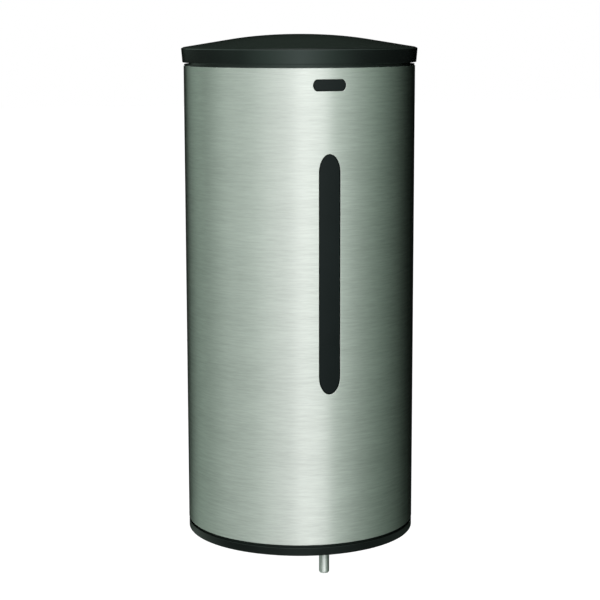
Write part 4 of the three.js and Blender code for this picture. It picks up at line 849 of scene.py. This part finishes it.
def base_piece():
    """The dish with its back cut flat and its holes."""
    groove_r, inside_r, floor_top = BASE_R - GROOVE_DEPTH, NECK_R - BASE_WALL, BASE_LOW + BASE_FLOOR
    below, above, over = BASE_LOW - OVERRUN, floor_top + OVERRUN, BASE_TOP + OVERRUN
    outline = filleted([(0, BASE_LOW), (BASE_R - BASE_EDGE, BASE_LOW, UNDER_ROUND),
                        (BASE_R, BASE_LOW + BASE_EDGE, SIDE_ROUND), (BASE_R, GROOVE_LOW, GROOVE_ROUND),
                        (groove_r, GROOVE_LOW), (groove_r, NECK_LOW), (NECK_R, NECK_LOW), (NECK_R, BASE_TOP),
                        (inside_r, BASE_TOP), (inside_r, floor_top), (0, floor_top)])
    steps = [back_cut(BASE_BACK, below, over), back_cut(NECK_BACK, NECK_LOW, over)]
    for node in ("base_screw_left", "base_screw_right"):
        x, y = middle_of(node, X), middle_of(node, Y)
        steps.append(rod(SCREW_R, (x, y, below), (x, y, above), segments=24))
        steps.append(rod(SCREW_HEAD_R, (x, y, below), (x, y, BASE_LOW + SCREW_SEAT)))
    steps.append(rod(NOZZLE_HOLE_R, (0, NOZZLE_Y, below), (0, NOZZLE_Y, above)))
    steps.append(prism(stadium(EYE_HALF, EYE_R, EYE_Y), below, above))
    return carved(turned(outline), [("DIFFERENCE", step) for step in steps])


add_smooth("base_dish", base_piece(), 25, black_plastic, "chassis", "base_cover")

# The nozzle: a steel tube with a rounded lip, a collar and a thin tail
NOZZLE_LOW, NOZZLE_TOP = (corner[Z] for corner in corners("nozzle"))
TUBE_R, TUBE_BORE_R, TUBE_TOP = 2.6, 1.7, -116.0
LIP_R, LIP_BORE_R, LIP_HEIGHT, LIP_BORE_HEIGHT = 2.2, 1.9, 0.8, 0.4
MOUTH_ROUND, LIP_ROUND, TAPER_ROUND, COLLAR_ROUND = 0.1, 0.15, 0.5, 0.2
COLLAR_R, COLLAR_LOW, COLLAR_HEIGHT = 5.0, BASE_LOW + BASE_FLOOR + SLIP, 1.6
TAIL_R, TAIL_BORE_R, TAIL_BORE_LOW, FUNNEL_HEIGHT = 1.2, 0.8, -118.0, 1.0
bore_low, bore_top = NOZZLE_LOW + LIP_BORE_HEIGHT, TAIL_BORE_LOW - FUNNEL_HEIGHT
collar_top = COLLAR_LOW + COLLAR_HEIGHT
nozzle_outline = filleted([
    (LIP_BORE_R, bore_low), (LIP_BORE_R, NOZZLE_LOW, MOUTH_ROUND), (LIP_R, NOZZLE_LOW, LIP_ROUND),
    (TUBE_R, NOZZLE_LOW + LIP_HEIGHT, TAPER_ROUND), (TUBE_R, COLLAR_LOW),
    (COLLAR_R, COLLAR_LOW, COLLAR_ROUND), (COLLAR_R, collar_top, COLLAR_ROUND), (TUBE_R, collar_top),
    (TUBE_R, TUBE_TOP), (TAIL_R, TUBE_TOP), (TAIL_R, NOZZLE_TOP), (TAIL_BORE_R, NOZZLE_TOP),
    (TAIL_BORE_R, TAIL_BORE_LOW), (TUBE_BORE_R, bore_top), (TUBE_BORE_R, bore_low)])
nozzle_mesh = carved(turned(nozzle_outline, 96), [])
nozzle_mesh.transform(Matrix.Translation((0, NOZZLE_Y * MM, 0)))
add_smooth("nozzle_tube", nozzle_mesh, 30, spout_steel, "chassis", "nozzle")

# The lock: a flush barrel with a flange behind the steel, and a turning plug with a key slot
LOCK_BACK, LOCK_FACE = (corner[X] for corner in corners("lock_body"))
LOCK_R, LOCK_BORE_R = 6.5, 4.5
FACE_ROUND, BACK_ROUND, RING_ROUND = 0.35, 0.3, 0.2
LOCK_FLANGE_R, LOCK_FLANGE_BACK, LOCK_FLANGE_FACE = corners("lock_body")[1][Z] - LOCK_Z, 55.9, 57.1
PLUG_TAIL, PLUG_FACE = (corner[X] for corner in corners("lock_plug"))
PLUG_R = 4.2
TAIL_HALF, TAIL_FRONT = 2.5, 45.0
KEY_SLOT_HALF_WIDTH, KEY_SLOT_HALF, KEY_SLOT_END = 0.45, 2.75, 56.0


def sideways(outline, steps=()):
    """A turned solid that points to the right at the lock's height, with its carving steps done."""
    bm = turned(outline, 96)
    bm.transform(Matrix.Translation((0, 0, LOCK_Z)) @ Matrix.Rotation(math.pi / 2, 4, "Y"))
    return carved(bm, steps)


lock_outline = filleted([
    (LOCK_BORE_R, LOCK_BACK), (LOCK_R, LOCK_BACK, BACK_ROUND), (LOCK_R, LOCK_FLANGE_BACK),
    (LOCK_FLANGE_R, LOCK_FLANGE_BACK, RING_ROUND), (LOCK_FLANGE_R, LOCK_FLANGE_FACE, RING_ROUND),
    (LOCK_R, LOCK_FLANGE_FACE), (LOCK_R, LOCK_FACE, FACE_ROUND), (LOCK_BORE_R, LOCK_FACE, RING_ROUND),
    (LOCK_BORE_R, LOCK_BACK)])[:-1]
add_smooth("lock_ring", sideways(lock_outline), 30, tube_steel, "chassis", "lock_body")
plug_outline = filleted([(0, LOCK_BACK), (PLUG_R, LOCK_BACK, BACK_ROUND), (PLUG_R, PLUG_FACE, FACE_ROUND),
                         (0, PLUG_FACE)])
key_slot = block(KEY_SLOT_END, PLUG_FACE + OVERRUN, -KEY_SLOT_HALF_WIDTH, KEY_SLOT_HALF_WIDTH,
                 LOCK_Z - KEY_SLOT_HALF, LOCK_Z + KEY_SLOT_HALF)
square_tail = block(PLUG_TAIL, TAIL_FRONT, -TAIL_HALF, TAIL_HALF, LOCK_Z - TAIL_HALF, LOCK_Z + TAIL_HALF)
plug_mesh = sideways(plug_outline, [("DIFFERENCE", key_slot), ("UNION", square_tail)])
add_smooth("lock_core", plug_mesh, 30, tube_steel, "lock", "lock_plug")

# Pieces whose CAD shape is right get rounded edges
for node, material, edge in (
        ("wall_plate", plain_steel, 0.25), ("back_panel", inner_black, 0.3),
        ("plate_screw", plain_steel, 0.15), ("base_screw_left", plain_steel, 0.15),
        ("base_screw_right", plain_steel, 0.15),
        ("top_frame", black_plastic, 0.2), ("lid_seal", rubber, 0.3), ("lid_strike", plain_steel, 0.2),
        ("hinge_pin", plain_steel, 0.1), ("lock_nut", plain_steel, 0.2), ("lock_cam", plain_steel, 0.2),
        ("reservoir", clear, 0.4), ("battery_cover", grey_plastic, 0.3), ("switch_body", inner_black, 0.2),
        ("switch_knob", white_plastic, 0.25), ("sensor_window", smoked, 0.15)):
    dress(node, material, edge)

# The camera stands where the photograph's did; its place is in metres and its angles are in radians
scene = bpy.context.scene
CAMERA_X, CAMERA_Y, CAMERA_Z = -0.2186, -0.8973, 0.1402
HEADING_OFFSET, PITCH, ROLL = 0.0001, 0.1621, -0.0021
FOCAL_PIXELS, PHOTO_PIXELS, SENSOR_WIDTH = 1705.7161, 600, 36.0
camera_data = bpy.data.cameras.new("camera")
camera_data.sensor_width = SENSOR_WIDTH
camera_data.lens = SENSOR_WIDTH * FOCAL_PIXELS / PHOTO_PIXELS
camera_data.clip_start, camera_data.clip_end = 0.05, 50.0
camera = bpy.data.objects.new("camera", camera_data)
scene.collection.objects.link(camera)
heading = math.atan2(-CAMERA_X, -CAMERA_Y - AXIS_TO_WALL * MM) + HEADING_OFFSET
forward = Vector((math.sin(heading) * math.cos(PITCH), math.cos(heading) * math.cos(PITCH), -math.sin(PITCH)))
right = Vector((math.cos(heading), -math.sin(heading), 0.0))
up = right.cross(forward)
right, up = right * math.cos(ROLL) + up * math.sin(ROLL), up * math.cos(ROLL) - right * math.sin(ROLL)
camera.matrix_world = Matrix((
    (right.x, up.x, -forward.x, CAMERA_X),
    (right.y, up.y, -forward.y, CAMERA_Y),
    (right.z, up.z, -forward.z, CAMERA_Z),
    (0, 0, 0, 1)))
scene.camera = camera


# The world: white behind the object and in its reflections, a plain level of light on matt surfaces
def white_world(on_matt, shown):
    world = bpy.data.worlds.new("studio")
    scene.world = world
    world.use_nodes = True
    tree = world.node_tree
    tree.nodes.clear()
    path = tree.nodes.new("ShaderNodeLightPath")

    def either(one, two):
        node = tree.nodes.new("ShaderNodeMath")
        node.operation = "MAXIMUM"
        tree.links.new(one, node.inputs[0])
        tree.links.new(two, node.inputs[1])
        return node.outputs[0]

    mirrored = either(path.outputs["Is Glossy Ray"], path.outputs["Is Transmission Ray"])
    strength = tree.nodes.new("ShaderNodeMapRange")
    strength.inputs["To Min"].default_value = on_matt
    strength.inputs["To Max"].default_value = shown
    tree.links.new(either(path.outputs["Is Camera Ray"], mirrored), strength.inputs["Value"])
    background = tree.nodes.new("ShaderNodeBackground")
    tree.links.new(strength.outputs[0], background.inputs["Strength"])
    background.inputs["Color"].default_value = (1, 1, 1, 1)
    world_out = tree.nodes.new("ShaderNodeOutputWorld")
    tree.links.new(background.outputs[0], world_out.inputs[0])


white_world(on_matt=0.65, shown=1.0)


def stage_piece(name, bm, material):
    """Something of the studio, not of the object."""
    mesh = bpy.data.meshes.new(name)
    bm.to_mesh(mesh)
    bm.free()
    mesh.materials.append(material)
    obj = bpy.data.objects.new(name, mesh)
    scene.collection.objects.link(obj)
    return obj


# The pale floor, far enough below that its shadow stays out of the photograph's frame
def pale_floor(depth, half_size, extra_glow):
    n = Nodes("studio_floor")
    speck = n.noise(n.place, 30.0, 3.0, 0.5)
    n.set(Base_Color=n.ramp(speck, [(0.3, (0.9, 0.9, 0.9)), (0.7, (0.93, 0.93, 0.93))]), Roughness=0.9)
    glow = n.add("ShaderNodeEmission")
    seen = n.add("ShaderNodeLightPath").outputs["Is Camera Ray"]
    n.link(n.math("MULTIPLY", seen, extra_glow), glow.inputs["Strength"])
    both = n.add("ShaderNodeAddShader")
    n.link(n.bsdf.outputs[0], both.inputs[0])
    n.link(glow.outputs[0], both.inputs[1])
    n.link(both.outputs[0], n.out.inputs[0])
    bm = bmesh.new()
    bmesh.ops.create_grid(bm, x_segments=2, y_segments=2, size=half_size)
    bm.transform(Matrix.Translation((0, 0, -depth)))
    stage_piece("floor", bm, n.material)


pale_floor(depth=0.5, half_size=12.0, extra_glow=0.45)

# The room: cards round the object that only reflections see
CAMERA_SIDE = 14.4
LOWEST, HIGHEST = -30, 70
RED_LEAST, RED_GAIN, RED_MOST, BLUE_LEAST = 0.71, 0.17, 0.985, 0.3
n = Nodes("studio_cards")
x, y, z = n.axes(n.place)
turn = n.math("ADD", angle_round_axis(n, x, y), math.radians(CAMERA_SIDE))
share = n.math("FRACT", n.math("ADD", n.math("DIVIDE", turn, 2 * math.pi), 0.5))
outward = n.math("ADD", y, AXIS_TO_WALL * MM)
reach = n.math("SQRT", n.math("ADD", n.math("MULTIPLY", x, x), n.math("MULTIPLY", outward, outward)))
height = n.range(n.math("ARCTAN2", z, reach), math.radians(LOWEST), math.radians(HIGHEST), 0.0, 1.0)


def by_turn(stops):
    """Brightness by the angle from the camera's side, in degrees to the right; dim cards are greener."""
    made = []
    for a, v in stops:
        red = min(RED_MOST, RED_LEAST + RED_GAIN * v)
        blue = BLUE_LEAST + (1 - BLUE_LEAST) * red
        made.append(((a + 180) / 360, (v * red, v, v * blue)))
    return n.ramp(share, made)


def by_rise(stops):
    """Brightness by the angle above the horizon, in degrees."""
    return n.ramp(height, [((a - LOWEST) / (HIGHEST - LOWEST), (v,) * 3) for a, v in stops])


def blend(kind, one, two, share_of_two=1.0):
    """Two brightnesses multiplied, added or mixed."""
    node = n.add("ShaderNodeMix", data_type="RGBA", blend_type=kind, clamp_result=False)
    n.put(node.inputs[0], share_of_two)
    n.link(one, node.inputs[6])
    n.link(two, node.inputs[7])
    return node.outputs[2]


round_the_room = by_turn([
    (-180, 0.07), (-166, 0.06), (-158, 0.06), (-148, 0.19), (-128, 0.56), (-105, 0.8), (-93, 0.92),
    (-76, 1.12), (-47, 1.24), (-36, 1.44), (-20, 1.54), (4, 1.58), (28, 1.55), (34, 1.26), (47, 1.14),
    (56, 0.99), (76, 0.66), (92, 0.44), (130, 0.13), (144, 0.05), (160, 0.03), (180, 0.07)])
in_front = by_turn([(-110, 0.0), (-60, 0.14), (-30, 0.74), (2, 1.55), (30, 0.64), (60, 0.0), (95, 0.0)])
ahead = by_rise([(-30, 0.32), (-21, 0.06), (-12, 0.03), (0, 0.2), (6, 0.66), (14, 1.32), (20, 1.5),
                 (60, 1.3)])
behind = by_rise([(-30, 1.5), (-22, 0.6), (-15, 0.02), (6, 0.03), (12, 0.2), (20, 0.7), (40, 1.6)])
low_band = by_rise([(-30, 0.0), (-19, 0.0), (-11, 1.0), (2, 1.0), (12, 0.3), (20, 0.0)])
left_card = blend("MULTIPLY", by_turn([(-152, 0.0), (-142, 0.5), (-118, 0.5), (-106, 0.0)]),
                  by_rise([(0, 0.0), (8, 1.0), (24, 1.0), (32, 0.0)]))
backward = n.range(n.math("ABSOLUTE", n.math("SUBTRACT", share, 0.5)), 0.2, 0.42, 0.0, 1.0)
wide = blend("MULTIPLY", round_the_room, blend("MIX", ahead, behind, backward))
light = blend("ADD", blend("ADD", wide, blend("MULTIPLY", in_front, low_band)), left_card)
glow = n.add("ShaderNodeEmission")
n.link(light, glow.inputs["Color"])
n.link(glow.outputs[0], n.out.inputs[0])


def tent(radius, up_share, down_share, open_above):
    """The surface that carries the cards: a flattened ball, open at its top."""
    bm = bmesh.new()
    bmesh.ops.create_uvsphere(bm, u_segments=96, v_segments=48, radius=1.0)
    for corner in bm.verts:
        corner.co *= radius
        corner.co.z *= up_share if corner.co.z > 0 else down_share
    open_top = [face for face in bm.faces if face.calc_center_median().z > open_above]
    bmesh.ops.delete(bm, geom=open_top, context="FACES")
    bm.transform(Matrix.Translation((0, -AXIS_TO_WALL * MM, 0)))
    return bm


card_tent = tent(radius=1.5, up_share=0.95, down_share=0.31, open_above=1.25)
cards = stage_piece("cards", card_tent, n.material)
cards.visible_camera = cards.visible_diffuse = cards.visible_shadow = cards.visible_transmission = False


# One soft lamp in front and above
def lamp(name, place_at, aim, size, power, colour):
    data = bpy.data.lights.new(name, "AREA")
    data.shape = "RECTANGLE"
    data.size, data.size_y = size
    data.energy = power
    data.color = colour
    obj = bpy.data.objects.new(name, data)
    scene.collection.objects.link(obj)
    obj.location = place_at
    obj.rotation_mode = "QUATERNION"
    obj.rotation_quaternion = (Vector(aim) - Vector(place_at)).to_track_quat("-Z", "Y")


lamp("key", place_at=(0.0, -1.21, 1.05), aim=(0, -0.05, 0), size=(0.8, 0.5), power=4.2,
     colour=(1.0, 0.965, 0.985))

scene.view_settings.view_transform = "Standard"
